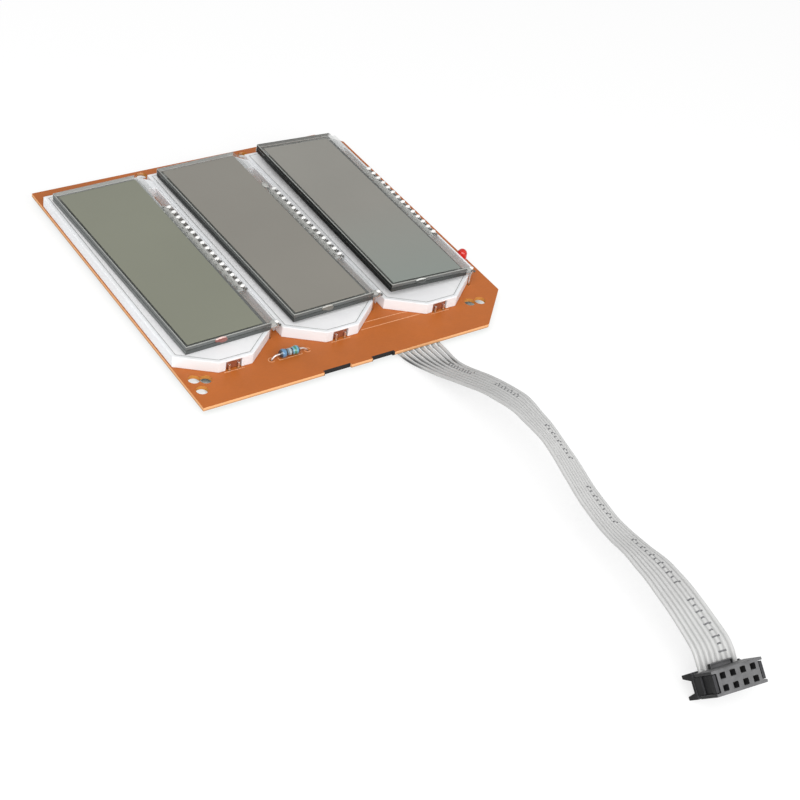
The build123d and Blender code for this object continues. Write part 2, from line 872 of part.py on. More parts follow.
parts["resistor_body"] = make_resistor_body()
parts["resistor_leads"] = make_resistor_leads()
parts["status_lamp"] = make_status_lamp()
parts["status_lamp_leads"] = make_status_lamp_leads()
parts["resistor_and_lamp_solder"] = make_joints(
    resistor_feet() + status_lamp_feet(), [parts["resistor_leads"], parts["status_lamp_leads"]]
)
parts["backlight_lamp_solder"] = make_joints(
    [foot for display in displays for foot in lamp_feet(display)],
    [parts[f"{display.name}_backlight_lamp_legs"] for display in displays],
)
parts["driver_chip"] = make_chip_body()
parts["driver_chip_legs"] = make_chip_legs()
parts["ribbon_wires"] = make_ribbon_wires()
parts["ribbon_wire_solder"] = make_pad_joints(parts["ribbon_wires"])
parts["ribbon_cable"] = make_ribbon()
parts["ribbon_clamped_end"] = make_ribbon_end()
parts["socket_body"] = make_socket_body()
parts["socket_contacts"] = make_socket_contacts()
parts["socket_cap"] = make_socket_cap()

os.makedirs("parts", exist_ok=True)
for name, part in parts.items():
    part.label = name
    export_step(part, f"parts/{name}.step")
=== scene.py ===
import math
from functools import cached_property

import bmesh
import bpy
from bpy.props import FloatProperty, FloatVectorProperty, IntProperty, PointerProperty
from mathutils import Matrix, Vector, noise


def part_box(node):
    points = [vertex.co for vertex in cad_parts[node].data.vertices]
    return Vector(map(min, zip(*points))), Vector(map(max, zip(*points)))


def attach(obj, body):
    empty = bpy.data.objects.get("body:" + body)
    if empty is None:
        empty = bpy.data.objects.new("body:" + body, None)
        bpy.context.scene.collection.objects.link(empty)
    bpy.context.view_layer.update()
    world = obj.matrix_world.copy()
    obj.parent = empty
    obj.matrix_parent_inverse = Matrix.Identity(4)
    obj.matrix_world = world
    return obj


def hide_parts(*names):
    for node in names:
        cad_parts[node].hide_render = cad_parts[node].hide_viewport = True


bl_info = {
    "name": "Segment display panel",
    "version": (1, 0, 0),
    "blender": (4, 5, 0),
    "location": "3D View > Sidebar > Display panel",
    "description": "Finishes the packed display panel with its pieces, materials, lights and camera",
    "category": "Object",
}

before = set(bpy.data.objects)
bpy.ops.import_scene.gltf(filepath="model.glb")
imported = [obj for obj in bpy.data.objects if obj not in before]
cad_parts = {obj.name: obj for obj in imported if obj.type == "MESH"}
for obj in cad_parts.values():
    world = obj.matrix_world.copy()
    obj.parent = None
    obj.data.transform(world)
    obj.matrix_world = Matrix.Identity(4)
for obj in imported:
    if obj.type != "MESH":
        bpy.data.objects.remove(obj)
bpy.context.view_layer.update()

MM = 0.001
board_low, board_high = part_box("circuit_board")
BOARD_CORNER = Vector((board_low.x, board_low.y, board_high.z))  # front left, top face
BOARD_THICKNESS = board_high.z - board_low.z


def colour(red, green, blue):
    """A colour read off the screen, as the shader takes it."""
    steps = (value / 255 for value in (red, green, blue))
    return tuple(s / 12.92 if s <= 0.04045 else ((s + 0.055) / 1.055) ** 2.4 for s in steps)


def times(tone, factor):
    """A colour made darker or lighter."""
    return tuple(min(value * factor, 1) for value in tone)


def on_board(x, y, height=0.0):
    """A point in millimetres from the board's front left corner, above its top face."""
    return BOARD_CORNER + Vector((x, y, height)) * MM


# Sizes, in millimetres and degrees

# The displays. case is the left side of the backlight case; corner, turn, tilt and lift place the glass on it;
# first is where the row of pins begins; film is where the front film ends on the right at the front, on the right
# at the back, and at the back. The wall greys are painted shade on the glass's cut sides, on the left and at the
# front; back_seal is how much of the seal shows at the back, and plug is the fill plug's place, its colour, and the
# colour of a painted highlight on its top.
DISPLAYS = {
    "left": dict(
        case=0.2, corner=(3.25, 15.6), turn=1.4, tilt=0.0, lift=0.0, pins=16, first=17.2,
        film=(21.7, 23.0, 68.6), wall_shade_greys={"upper": (106, 104), "lower": (112, 86)}, back_seal=0.0,
        plug=(9.6, colour(140, 84, 76), colour(226, 196, 190)),
    ),
    "middle": dict(
        case=30.6, corner=(33.3, 15.8), turn=1.1, tilt=0.0, lift=0.8, pins=14, first=19.1,
        film=(21.8, 22.7, 68.8), wall_shade_greys={"upper": (92, 98), "lower": (42, 78)}, back_seal=0.1,
        plug=(9.8, colour(112, 108, 100), colour(186, 184, 178)),
    ),
    "right": dict(
        case=61.0, corner=(62.2, 15.8), turn=-0.6, tilt=2.4, lift=2.0, pins=14, first=19.1,
        film=(22.0, 21.4, 68.1), wall_shade_greys={"upper": (38, 100), "lower": (20, 68)}, back_seal=0.34,
        plug=(9.0, colour(66, 70, 68), colour(216, 218, 214)),
    ),
}
CASE_HEIGHT = 3.1
GLASS_WIDTH = 26.3
GLASS_LENGTH = 71.0
UPPER_GLASS_WIDTH = 24.0
FILM_INSET = 0.65
FILM_THICKNESS = 0.2
FRONT_FILM_BASE = 2.5  # over the underside of the glass stack
REAR_FILM_WIDTH = 23.4
LEDGE_HEIGHT = 1.3
UNDER_GLASS = 0.2
SEAL_BAND = 1.5  # at the back of the glass, where the seal shows
BACK_SEAL_Y = 84.2  # from the board's front edge, where the edge seal turns pale
FRONT_FADE = (15, 50)  # from the board's front edge, where the right film changes its colour
PIN_PITCH = 2.54
SUPPORT_PIN_Y = 1.0
PIN_ROW_X = 27.55
TAIL_LEVEL = -3.0
LEG_TIP = 0.15  # the tapered end of a pin's leg

# Along the board's front edge: the two notches with black ink on them, and how far back the ink reaches
INKED_NOTCHES = ((33.3, 41.1), (47.4, 54.1))
INK_DEPTH = 0.75
SAWN_BAND = 1.2  # inside the board's outline, where a wall is a sawn edge and not a hole

CHIP_PLACE = (44.0, 52.0)
CHIP_REACH = 6.0  # from its middle to the tips of its legs
CHIP_LEGS = [(i - 5) * 0.8 for i in range(11)]  # on each side, from its middle

# The line of the ribbon: x and y from the board's front left corner, height over its top
RIBBON_ROUTE = (
    (62.1, 0.0, -1.8),
    (62.1, -8.5, -1.0),
    (62.1, -22.0, 5.2),
    (62.1, -33.5, 9.6),
    (61.9, -42.0, 10.9),
    (61.5, -54.5, 10.2),
    (60.0, -67.0, 7.5),
    (58.7, -79.0, 6.9),
    (58.4, -92.0, 8.8),
    (57.7, -102.5, 8.2),
    (57.1, -111.0, 6.6),
    (56.65, -114.9, 5.9),
    (56.13, -118.16, 3.38),
    (55.58, -122.32, 0.14),
)
# How the ribbon rolls about that line: distance in front of the board, and degrees, right edge down
RIBBON_ROLL = (
    (0, 0), (20, 5), (34, 11), (44, 23), (54, 31), (64, 30), (72, 26), (86, 19), (94, 10), (102, 5), (116, 0)
)
FAN_WIDTH = 12.5  # over the outer wires where they leave the board
FAN_LENGTH = 12.0
PAD_PITCH = 2.0  # of the wires' ends under the board
SOCKET_TURN = -7.4  # of the socket's rows


def marks(start, count, pitch):
    """Long and short bars across the wires, as on a rule: from and to along the ribbon, from and to across it."""
    reach = ((0.8, 2.9), (1.4, 2.4))
    return [(start + i * pitch, start + i * pitch + 0.4, *reach[i % 2]) for i in range(count)]


PRINTED_MARKS = (
    marks(10, 9, 1.1) + marks(29, 8, 1.2) + marks(49, 9, 1.3)
    + marks(68, 9, 1.4) + marks(86, 11, 1.5) + marks(106, 9, 1.6)
)


class Shade:
    """A shader socket that takes part in sums, each of which adds a Math node."""

    def __init__(self, finish, socket):
        self.finish = finish
        self.socket = socket

    def maths(self, operation, *terms):
        return self.finish.maths(operation, self, *terms)

    def __add__(self, other):
        return self.maths("ADD", other)

    def __sub__(self, other):
        return self.maths("SUBTRACT", other)

    def __rsub__(self, other):
        return self.finish.maths("SUBTRACT", other, self)

    def __mul__(self, other):
        return self.maths("MULTIPLY", other)

    def __truediv__(self, other):
        return self.maths("DIVIDE", other)

    def __gt__(self, other):
        return self.maths("GREATER_THAN", other)

    def __lt__(self, other):
        return self.maths("LESS_THAN", other)

    def __abs__(self):
        return self.maths("ABSOLUTE")


class Finish:
    """A procedural material, or the world, and the nodes it is made of."""

    def __init__(self, name, kind="Material"):
        self.owner = getattr(bpy.data, f"{kind.lower()}s").new(name)
        self.owner.use_nodes = True
        self.tree = self.owner.node_tree
        self.tree.nodes.clear()
        self.end = f"ShaderNodeOutput{kind}"

    def node(self, kind, settings=None, sockets=None, output=0):
        """Adds a node with its settings, and values or links for its sockets; gives one of its outputs."""
        node = self.tree.nodes.new(kind)
        for key, value in (settings or {}).items():
            if key == "stops":
                for place, tone in value[:-2]:
                    node.color_ramp.elements.new(place)
                for element, (place, tone) in zip(node.color_ramp.elements, value):
                    element.position = place
                    element.color = (*tone, 1.0)
            else:
                setattr(node, key, value)
        for key, value in (sockets or {}).items():
            socket = node.inputs[key]
            if isinstance(value, Shade):
                self.tree.links.new(value.socket, socket)
            elif socket.type == "RGBA":
                socket.default_value = (*value, 1.0)
            else:
                socket.default_value = value
        return Shade(self, node.outputs[output]) if node.outputs else None

    def maths(self, operation, *terms):
        return self.node("ShaderNodeMath", {"operation": operation}, dict(enumerate(terms)))

    @cached_property
    def place(self):
        """The Object coordinates."""
        return self.node("ShaderNodeTexCoord", output="Object")

    def axes(self, vector=None):
        """The three numbers of a vector, or of the place."""
        first = self.node("ShaderNodeSeparateXYZ", {}, {0: vector or self.place})
        return [Shade(self, output) for output in first.socket.node.outputs]

    def facing(self):
        """The three numbers of the direction that the surface faces."""
        return self.axes(self.node("ShaderNodeNewGeometry", output="True Normal"))

    def seen(self):
        """1 for a ray from the camera, a mirror or a clear piece, and 0 for one that lights the object."""
        camera = self.node("ShaderNodeLightPath", output="Is Camera Ray")
        outputs = camera.socket.node.outputs
        mirrored, through = (Shade(self, outputs[key]) for key in ("Is Glossy Ray", "Is Transmission Ray"))
        return self.maths("MINIMUM", camera + mirrored + through, 1.0)

    def noise(self, scale, detail, roughness, vector=None):
        sockets = {"Vector": vector or self.place, "Scale": scale, "Detail": detail, "Roughness": roughness}
        return self.node("ShaderNodeTexNoise", {}, sockets, "Fac")

    def streaks(self, scale, roughness):
        """Noise with a scale of its own along each axis."""
        stretched = self.node("ShaderNodeMapping", {}, {"Vector": self.place, "Scale": scale})
        return self.noise(1, 3, roughness, stretched)

    def spread(self, value, low, high, to_low=0.0, to_high=1.0):
        """A value carried from one range to another, and kept inside it."""
        sockets = {"Value": value, "From Min": low, "From Max": high, "To Min": to_low, "To Max": to_high}
        return self.node("ShaderNodeMapRange", {"clamp": True}, sockets)

    def varied(self, grain, low=0.0, high=1.0):
        """A noise, most of which lies between 0.3 and 0.7, carried to another range."""
        return self.spread(grain, 0.3, 0.7, low, high)

    def mix(self, factor, first, second):
        return self.node("ShaderNodeMix", {"data_type": "RGBA"}, {0: factor, 6: first, 7: second}, 2)

    def mottled(self, grain, tone, low, high=1.0):
        """A colour that wanders between two levels of itself."""
        return self.mix(grain, times(tone, low), times(tone, high))

    def blend(self, factor, first, second):
        """Two shaders, the second where factor is 1."""
        return self.node("ShaderNodeMixShader", {}, {0: factor, 1: first, 2: second})

    def bump(self, height, distance, strength):
        """The surface's direction over a relief of so many millimetres."""
        sockets = {"Height": height, "Distance": distance * MM, "Strength": strength}
        return self.node("ShaderNodeBump", {}, sockets)

    def surface(self, **sockets):
        """The main shader; underscores in its socket names stand for spaces."""
        named = {key.replace("_", " "): value for key, value in sockets.items()}
        return self.node("ShaderNodeBsdfPrincipled", {}, named)

    def close(self, shader=None, **sockets):
        """Joins the shader, or a main shader with these sockets, to the output."""
        self.node(self.end, {}, {"Surface": shader or self.surface(**sockets)})
        return self.owner


def linked(name, data):
    """A new object in the scene."""
    item = bpy.data.objects.new(name, data)
    bpy.context.scene.collection.objects.link(item)
    return item


def solid(name, form, material):
    """Closes a bmesh into an object of one material."""
    mesh = bpy.data.meshes.new(name)
    form.to_mesh(mesh)
    form.free()
    mesh.materials.append(material)
    return linked(name, mesh)


def new_piece(name, form, material, smooth=None):
    """Closes a bmesh into a piece of the object; smooth is the angle in degrees past which an edge stays sharp."""
    piece = solid(name, form, material)
    if smooth is not None:
        piece.data.shade_smooth()
        piece.data.set_sharp_from_angle(angle=math.radians(smooth))
    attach(piece, "root")
    return piece


def dress(node, material):
    """Gives a CAD node its material."""
    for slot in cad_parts[node].material_slots:
        slot.material = material


def bevelled(form, edges, width, segments=2):
    """Rounds edges by a width in millimetres."""
    bmesh.ops.bevel(
        form, geom=edges, offset=width * MM, affect="EDGES", segments=segments, profile=0.5, material=-1,
        clamp_overlap=True,
    )


def softened(name, node, material, width, segments=2):
    """A copy of a CAD node with its edges rounded, which stands for the node."""
    form = bmesh.new()
    form.from_mesh(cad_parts[node].data)
    bmesh.ops.remove_doubles(form, verts=form.verts, dist=2e-7)
    bmesh.ops.dissolve_limit(form, angle_limit=math.radians(1), verts=form.verts, edges=form.edges)
    bevelled(form, [edge for edge in form.edges if edge.calc_face_angle(0) > math.radians(30)], width, segments)
    piece = new_piece(name, form, material)
    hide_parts(node)


def turned(form, outline, centre, axis):
    """Spins an outline of points into a closed round shape."""
    verts = [form.verts.new(point) for point in outline]
    edges = [form.edges.new(pair) for pair in zip(verts, verts[1:])]
    bmesh.ops.spin(form, geom=verts + edges, cent=centre, axis=axis, angle=math.tau, steps=32, use_merge=True)
    bmesh.ops.remove_doubles(form, verts=form.verts, dist=2e-6)
    rims = [edge for edge in form.edges if edge.is_boundary]
    bmesh.ops.holes_fill(form, edges=rims, sides=0)
    bmesh.ops.recalc_face_normals(form, faces=form.faces)


def bead(form, place, size):
    """A rounded lump, size its half widths in millimetres, at the origin of a matrix."""
    bmesh.ops.create_icosphere(form, subdivisions=3, radius=1.0, matrix=place @ Matrix.Diagonal((*size, 1)))


def swept(form, section, places):
    """Carries a closed section, points in its own plane, through a row of matrices, and closes the ends."""
    ring = [form.verts.new(places[0] @ Vector((x, y, 0))) for x, y in section]
    edges = [form.edges.new((a, b)) for a, b in zip(ring, ring[1:] + ring[:1])]
    first = form.faces.new(ring)
    first.normal_flip()
    made = [first]
    for place in places[1:]:
        grown = bmesh.ops.extrude_edge_only(form, edges=edges)["geom"]
        fresh = {item for item in grown if isinstance(item, bmesh.types.BMVert)}
        ring = [
            next(edge.other_vert(vert) for edge in vert.link_edges if edge.other_vert(vert) in fresh)
            for vert in ring
        ]
        for vert, (x, y) in zip(ring, section):
            vert.co = place @ Vector((x, y, 0))
        edges = [form.edges.get((a, b)) for a, b in zip(ring, ring[1:] + ring[:1])]
        made += [item for item in grown if isinstance(item, bmesh.types.BMFace)]
    made.append(form.faces.new(ring))
    bmesh.ops.recalc_face_normals(form, faces=made)
    return made


def circle(radius, sides):
    turns = (math.tau * i / sides for i in range(sides))
    return [(radius * math.cos(turn), radius * math.sin(turn)) for turn in turns]


def oblong(half_x, half_y):
    return [(-half_x, -half_y), (half_x, -half_y), (half_x, half_y), (-half_x, half_y)]


def looking(origin, ahead, across):
    """The matrix of a section at origin: Z ahead, X as near to across as it can be."""
    z = ahead.normalized()
    y = z.cross(across).normalized()
    x = y.cross(z)
    return Matrix(((x.x, y.x, z.x, origin.x), (x.y, y.y, z.y, origin.y), (x.z, y.z, z.z, origin.z), (0, 0, 0, 1)))


def ways(points):
    """The points of a line, each with the way on from there."""
    return [(point, points[min(i + 1, len(points) - 1)] - points[max(i - 1, 0)]) for i, point in enumerate(points)]


def sections(points, across):
    """A section's matrices along points, its X near across."""
    return [looking(point, ahead, across) for point, ahead in ways(points)]


def bent(corners, radius, steps=4):
    """The corners of a bent wire or sheet, each inner one replaced by a few points round it."""
    line = [corners[0]]
    for before, corner, after in zip(corners, corners[1:], corners[2:]):
        start = corner + (before - corner).normalized() * radius
        end = corner + (after - corner).normalized() * radius
        for i in range(steps + 1):
            t = i / steps
            line.append(start.lerp(corner, t).lerp(corner.lerp(end, t), t))
    line.append(corners[-1])
    return line


def strip(form, points, width, height, thickness):
    """A flat line through points on the board, in millimetres, at a height over its top."""
    line = ways([on_board(x, y, height) for x, y in points])
    places = [looking(point, ahead, ahead.cross(Vector((0, 0, 1)))) for point, ahead in line]
    swept(form, oblong(width / 2 * MM, thickness / 2 * MM), places)


def glass_frame(name):
    """The matrix from a display's own millimetres to the model: X across the glass, Y along it."""
    display = DISPLAYS[name]
    origin = on_board(*display["corner"], CASE_HEIGHT + display["lift"])
    turn = Matrix.Rotation(math.radians(display["turn"]), 4, "Z")
    tilt = Matrix.Rotation(math.radians(display["tilt"]), 4, "Y")
    return Matrix.Translation(origin) @ turn @ tilt @ Matrix.Scale(MM, 4)


# Settings


def tint(name, description, red, green, blue):
    """A colour among the settings."""
    tone = colour(red, green, blue)
    return FloatVectorProperty(name=name, description=description, subtype="COLOR", default=tone)


def measure(name, description, millimetres):
    """A length among the settings."""
    return FloatProperty(name=name, description=description, unit="LENGTH", default=millimetres * MM)


class PanelBoard(bpy.types.PropertyGroup):
    face: tint("Face", "Colour of the laminate", 180, 99, 41)
    edge: tint("Cut edge", "Colour of the sawn edge", 232, 172, 120)
    bore: tint("Hole wall", "Colour inside the holes", 204, 138, 66)
    mask: tint("Underside", "Colour of the solder mask", 58, 104, 60)
    ink: tint("Markings", "Colour of the printed lines", 226, 172, 130)
    ink_width: measure("Marking width", "Width of a printed line", 0.19)


class PanelDisplays(bpy.types.PropertyGroup):
    left_film: tint("Left film", "Colour of the left polarizer", 125, 127, 112)
    middle_film: tint("Middle film", "Colour of the middle polarizer", 131, 128, 120)
    right_film: tint("Right film", "Colour of the right polarizer", 137, 135, 128)
    right_film_front: tint("Right film, front", "Its colour near the front", 130, 137, 131)
    glass: tint("Glass", "Tint of the clear glass", 168, 172, 168)
    glass_veil: FloatProperty(
        name="Glass veil", description="How much the clear glass covers", default=0.14, min=0, max=1
    )
    # The glass's broken top edge takes a painted highlight in this colour.
    edge_highlight: tint("Edge line", "Colour of the glass's broken top edge", 158, 160, 156)
    case: tint("Case", "Colour of the backlight cases", 238, 240, 243)
    edge_round: measure("Case edge", "Rounding of the case's edges", 0.14)


class PanelPins(bpy.types.PropertyGroup):
    sheet: measure("Sheet", "Thickness of the pin sheet", 0.18)
    width: measure("Width", "Width of a clip", 0.9)
    reach: measure("Reach", "How far a clip grips the ledge", 1.9)
    tin: FloatVectorProperty(
        name="Tin", description="Colour of the plating", subtype="COLOR", default=(0.97, 0.97, 0.96)
    )
    coat: tint("Coat", "Colour of the resin over the pins", 172, 172, 168)


class PanelRibbon(bpy.types.PropertyGroup):
    sheath: tint("Sheath", "Colour of the insulation", 196, 196, 195)
    print_ink: tint("Print", "Colour of the printed ticks", 104, 104, 106)
    wires: IntProperty(name="Wires", description="Number of wires side by side", default=8, min=2)
    pitch: measure("Pitch", "Distance between wires", 1.27)
    wire: measure("Wire", "Diameter of one insulated wire", 0.96)


class PanelSocket(bpy.types.PropertyGroup):
    plastic: tint("Plastic", "Colour of the housing", 102, 102, 103)
    clamp: tint("Clamp", "Colour of the cap on the ribbon", 58, 58, 60)
    edge_round: measure("Edge", "Rounding of the housing's edges", 0.12)


class PanelStage(bpy.types.PropertyGroup):
    lens: FloatProperty(name="Lens", description="Focal length of the camera", default=74.4792)
    sky: FloatProperty(name="Sky", description="Strength of the light from all round", default=0.45)
    key: FloatProperty(
        name="Key lamp", description="Power of the large lamp over the front left", unit="POWER", default=6.8
    )
    fill: FloatProperty(name="Fill lamp", description="Power of the lamp at the front", unit="POWER", default=3.0)


# Materials


def laminate():
    """Phenolic paper board: faint paper mottling on top, a pale sawn edge, green mask below."""
    settings = bpy.context.scene.panel_board
    finish = Finish("phenolic_laminate")
    x, y, z = finish.axes()
    up = finish.facing()[2]
    cloud = finish.noise(60, 4, 0.6)
    fibre = finish.streaks((900, 2600, 900), 0.6)
    grain = finish.streaks((500, 500, 6000), 0.7)
    face = finish.mottled(finish.spread(cloud * 0.7 + fibre * 0.3, 0.35, 0.65), settings.face, 0.9, 1.06)
    level = finish.spread(z, board_low.z, board_high.z)
    edge = finish.mottled(finish.spread(level + grain * 0.4, 0.35, 0.75), settings.edge, 0.62)
    inside = (abs(x) < board_high.x - SAWN_BAND * MM) * (abs(y) < board_high.y - SAWN_BAND * MM)
    wall = finish.mix(inside, edge, settings.bore)
    mask = finish.mottled(finish.spread(cloud, 0.35, 0.65), settings.mask, 0.75)
    sideways = abs(up) < 0.5
    bare = finish.mix(sideways, finish.mix(up > 0.5, mask, face), wall)
    first, second = ((x > board_low.x + start * MM) * (x < board_low.x + end * MM) for start, end in INKED_NOTCHES)
    inked = (first + second) * (y < board_low.y + INK_DEPTH * MM) * finish.spread(up, -0.6, -0.4)
    return finish.close(
        Base_Color=finish.mix(inked, bare, colour(26, 24, 24)),
        Roughness=finish.varied(cloud, 0.36, 0.46) + sideways * 0.3,
        Normal=finish.bump(fibre * 0.3 + grain * 0.7 * sideways, 0.02, 0.5),
        Specular_IOR_Level=0.28,
    )


def ink(name, tone):
    """Screen-printed ink, thin in places."""
    finish = Finish(name)
    worn = finish.spread(finish.noise(1800, 3, 0.6), 0.35, 0.62)
    thin = tuple(a * 0.55 + b * 0.45 for a, b in zip(tone, bpy.context.scene.panel_board.face))
    return finish.close(
        Base_Color=finish.mix(worn, thin, tone), Roughness=0.55, Normal=finish.bump(worn, 0.004, 0.4)
    )


def white_plastic():
    """Moulded case plastic: satin, a little uneven, faintly yellow in places."""
    tone = bpy.context.scene.panel_displays.case
    finish = Finish("case_plastic")
    cloud = finish.noise(90, 3, 0.5)
    warm = (tone[0] * 0.96, tone[1] * 0.95, tone[2] * 0.93)
    return finish.close(
        Base_Color=finish.mix(finish.varied(cloud), warm, tone),
        Roughness=finish.varied(cloud, 0.3, 0.42),
        Normal=finish.bump(finish.noise(5200, 2, 0.5), 0.006, 0.35),
        Subsurface_Weight=0.2,
        Subsurface_Radius=(1, 1, 1),
        Subsurface_Scale=1.0 * MM,
        Specular_IOR_Level=0.35,
    )


def diffuser_film():
    """White film under the glass, with the finest matt grain."""
    finish = Finish("diffuser_film")
    cloud = finish.varied(finish.noise(130, 2, 0.5))
    return finish.close(
        Base_Color=finish.mix(cloud, colour(243, 243, 245), colour(250, 250, 251)),
        Roughness=0.55,
        Normal=finish.bump(finish.noise(7000, 2, 0.6), 0.008, 0.5),
        Subsurface_Weight=0.3,
        Subsurface_Radius=(1, 1, 1),
        Subsurface_Scale=1.5 * MM,
    )


def clear_plastic(name, tone):
    """Cast clear plastic with a slight flow in it."""
    finish = Finish(name)
    flow = finish.noise(700, 2, 0.5)
    return finish.close(
        Base_Color=finish.mottled(finish.varied(flow), tone, 0.94),
        Roughness=finish.varied(flow, 0.08, 0.14),
        Transmission_Weight=0.9,
        IOR=1.49,
        Normal=finish.bump(flow, 0.02, 0.2),
    )


def display_glass(name, piece):
    """Clear float glass; where the films lie over and under it, its cut sides are painted in greys of shade."""
    settings = bpy.context.scene.panel_displays
    display = DISPLAYS[name]
    finish = Finish(f"{name}_{piece}_glass")
    x, y = finish.axes()[:2]
    turn = math.radians(display["turn"])
    corner = on_board(*display["corner"])
    across = (x - corner.x) * math.cos(turn) + (y - corner.y) * math.sin(turn)
    along = (y - corner.y) * math.cos(turn) - (x - corner.x) * math.sin(turn)
    facing_right, facing_up = finish.facing()[::2]
    score = finish.streaks((900, 900, 5000), 0.6)
    smear = finish.noise(260, 2, 0.5)
    seal = (along > (GLASS_LENGTH - SEAL_BAND) * MM) * (across < UPPER_GLASS_WIDTH * MM)
    seal_tone = finish.mix(seal * (display["back_seal"] * 3), settings.glass, colour(60, 58, 54))
    clear = finish.surface(
        Base_Color=seal_tone,
        Roughness=finish.spread(smear, 0.4, 0.7, 0.02, 0.06),
        Alpha=seal * display["back_seal"] + settings.glass_veil,
    )
    # Painted shade: each display's cut sides take set greys, one for the faces on the left and one for the front
    # faces.
    tones = []
    for level in (0.88, 1.12):
        left, front = (times(colour(grey - 3, grey, grey - 1), level) for grey in display["wall_shade_greys"][piece])
        tones.append(finish.mix(facing_right < -0.7, front, left))
    side = finish.mix(finish.spread(score, 0.35, 0.65), *tones)
    # On the upper plate, the broken top edge, which faces partly up, takes the painted highlight colour.
    if piece == "upper":
        side = finish.mix((facing_up > 0.2) * (facing_up < 0.97), side, settings.edge_highlight)
    # The last 0.3 mm at the back is painted pale: painted light on faces turned away from the lamps.
    side_shade_and_highlights = finish.surface(
        Base_Color=finish.mix(along > (GLASS_LENGTH - 0.3) * MM, side, colour(196, 196, 192)),
        Roughness=0.35,
        Normal=finish.bump(score, 0.01, 0.25),
        Specular_IOR_Level=0.2,
    )
    covered = across < (UPPER_GLASS_WIDTH - 0.1) * MM
    return finish.close(finish.blend((abs(facing_up) < 0.97) * covered, clear, side_shade_and_highlights))


def polarizer(name, tone, front=None):
    """Polarizing film: an even grey-green sheet under a hard coat; front is its colour at the front edge."""
    finish = Finish(name)
    orange_peel = finish.noise(420, 2, 0.5)
    specks = finish.node("ShaderNodeTexVoronoi", {}, {"Vector": finish.place, "Scale": 420}, "Distance")
    dust = finish.spread(specks, 0.02, 0.035, 1.0, 0.0)
    base = finish.mottled(finish.varied(finish.noise(28, 2, 0.5)), tone, 0.96, 1.04)
    if front is not None:
        y = finish.axes()[1]
        base = finish.mix(finish.spread(y, *(board_low.y + fade * MM for fade in FRONT_FADE)), front, base)
    return finish.close(
        Base_Color=finish.mix(dust * 0.2, base, colour(180, 180, 176)),
        Roughness=finish.varied(orange_peel, 0.3, 0.38),
        Normal=finish.bump(orange_peel, 0.02, 0.12),
        Specular_IOR_Level=0.3,
        Coat_Weight=0.2,
        Coat_Roughness=0.12,
    )


def metal(name, tone, roughness, grain_scale, bump):
    """Plated or cast metal with fine drawn marks and a dulled skin."""
    finish = Finish(name)
    grain = finish.noise(grain_scale, 3, 0.6)
    skin = finish.spread(finish.noise(grain_scale / 4, 2, 0.5), 0.35, 0.7)
    return finish.close(
        Base_Color=finish.mottled(skin, tone, 1.0, 0.78),
        Metallic=1.0,
        Roughness=finish.spread(skin + grain * 0.4, 0.0, 1.4, roughness, roughness + 0.22),
        Normal=finish.bump(grain, bump, 0.4),
    )


def dark_plastic(name, tone, ends=None):
    """Moulded dark plastic with spark-eroded grain; faces that lie across the direction ends get painted shade."""
    finish = Finish(name)
    grain = finish.noise(4200, 3, 0.6)
    cloud = finish.noise(380, 2, 0.5)
    base = finish.mottled(finish.spread(cloud * 0.6 + grain * 0.4, 0.35, 0.65), tone, 0.84, 1.2)
    if ends is not None:
        right, back = finish.facing()[:2]
        # Painted shade: the end faces take a far darker copy of the colour.
        base = finish.mix(abs(right * ends.x + back * ends.y) > 0.8, base, times(tone, 0.18))
    return finish.close(
        Base_Color=base,
        Roughness=finish.varied(cloud, 0.45, 0.58),
        Normal=finish.bump(grain, 0.012, 0.5),
        Specular_IOR_Level=0.15,
    )


def resin(name, tone, roughness=0.25, transmission=0.0, top=None, behind=None):
    """Cured resin, softly lumpy; top is a painted highlight colour where it faces up, behind its colour by the board's
    back edge.
    """
    finish = Finish(name)
    lump = finish.noise(900, 3, 0.5)
    base = finish.mottled(finish.varied(lump), tone, 0.88)
    if top is not None:
        base = finish.mix(finish.spread(finish.facing()[2], 0.45, 0.6), base, top)
    if behind is not None:
        base = finish.mix(finish.axes()[1] > board_low.y + BACK_SEAL_Y * MM, base, behind)
    return finish.close(
        Base_Color=base,
        Roughness=finish.varied(lump, roughness, roughness + 0.1),
        Transmission_Weight=transmission,
        IOR=1.5,
        Normal=finish.bump(lump, 0.05, 0.3),
    )


def resistor_lacquer(left, length):
    """Blue lacquer with bands round the body, and rings of painted highlight and shade, placed by how far along it
    they lie.
    """
    finish = Finish("resistor_lacquer")
    along = (finish.axes()[0] - left) / length
    speckle = finish.noise(2600, 2, 0.5)
    # The dark navy stops at both ends are painted shade on the rounded caps; the pale middle stop and the light cyan
    # stop after the green band are painted highlights.
    stops = (
        (0.0, colour(34, 48, 60)),
        (0.07, colour(84, 130, 168)),
        (0.27, colour(22, 26, 30)),
        (0.35, colour(104, 124, 136)),
        (0.44, colour(164, 176, 180)),
        (0.55, colour(22, 22, 26)),
        (0.63, colour(98, 158, 178)),
        (0.71, colour(52, 122, 88)),
        (0.81, colour(98, 162, 182)),
        (0.91, colour(30, 42, 58)),
    )
    bands = finish.node("ShaderNodeValToRGB", {"stops": stops}, {0: along}, "Color")
    bands.socket.node.color_ramp.interpolation = "CONSTANT"
    return finish.close(
        Base_Color=finish.mix(finish.spread(speckle, 0.4, 0.8, 0.0, 0.15), bands, colour(92, 140, 170)),
        Roughness=finish.varied(speckle, 0.2, 0.3),
        Coat_Weight=0.9,
        Coat_Roughness=0.06,
        Normal=finish.bump(speckle, 0.01, 0.3),
    )


def fan_pitch():
    """The distance between wires where they leave the board."""
    settings = bpy.context.scene.panel_ribbon
    return (FAN_WIDTH * MM - settings.wire) / (settings.wires - 1)


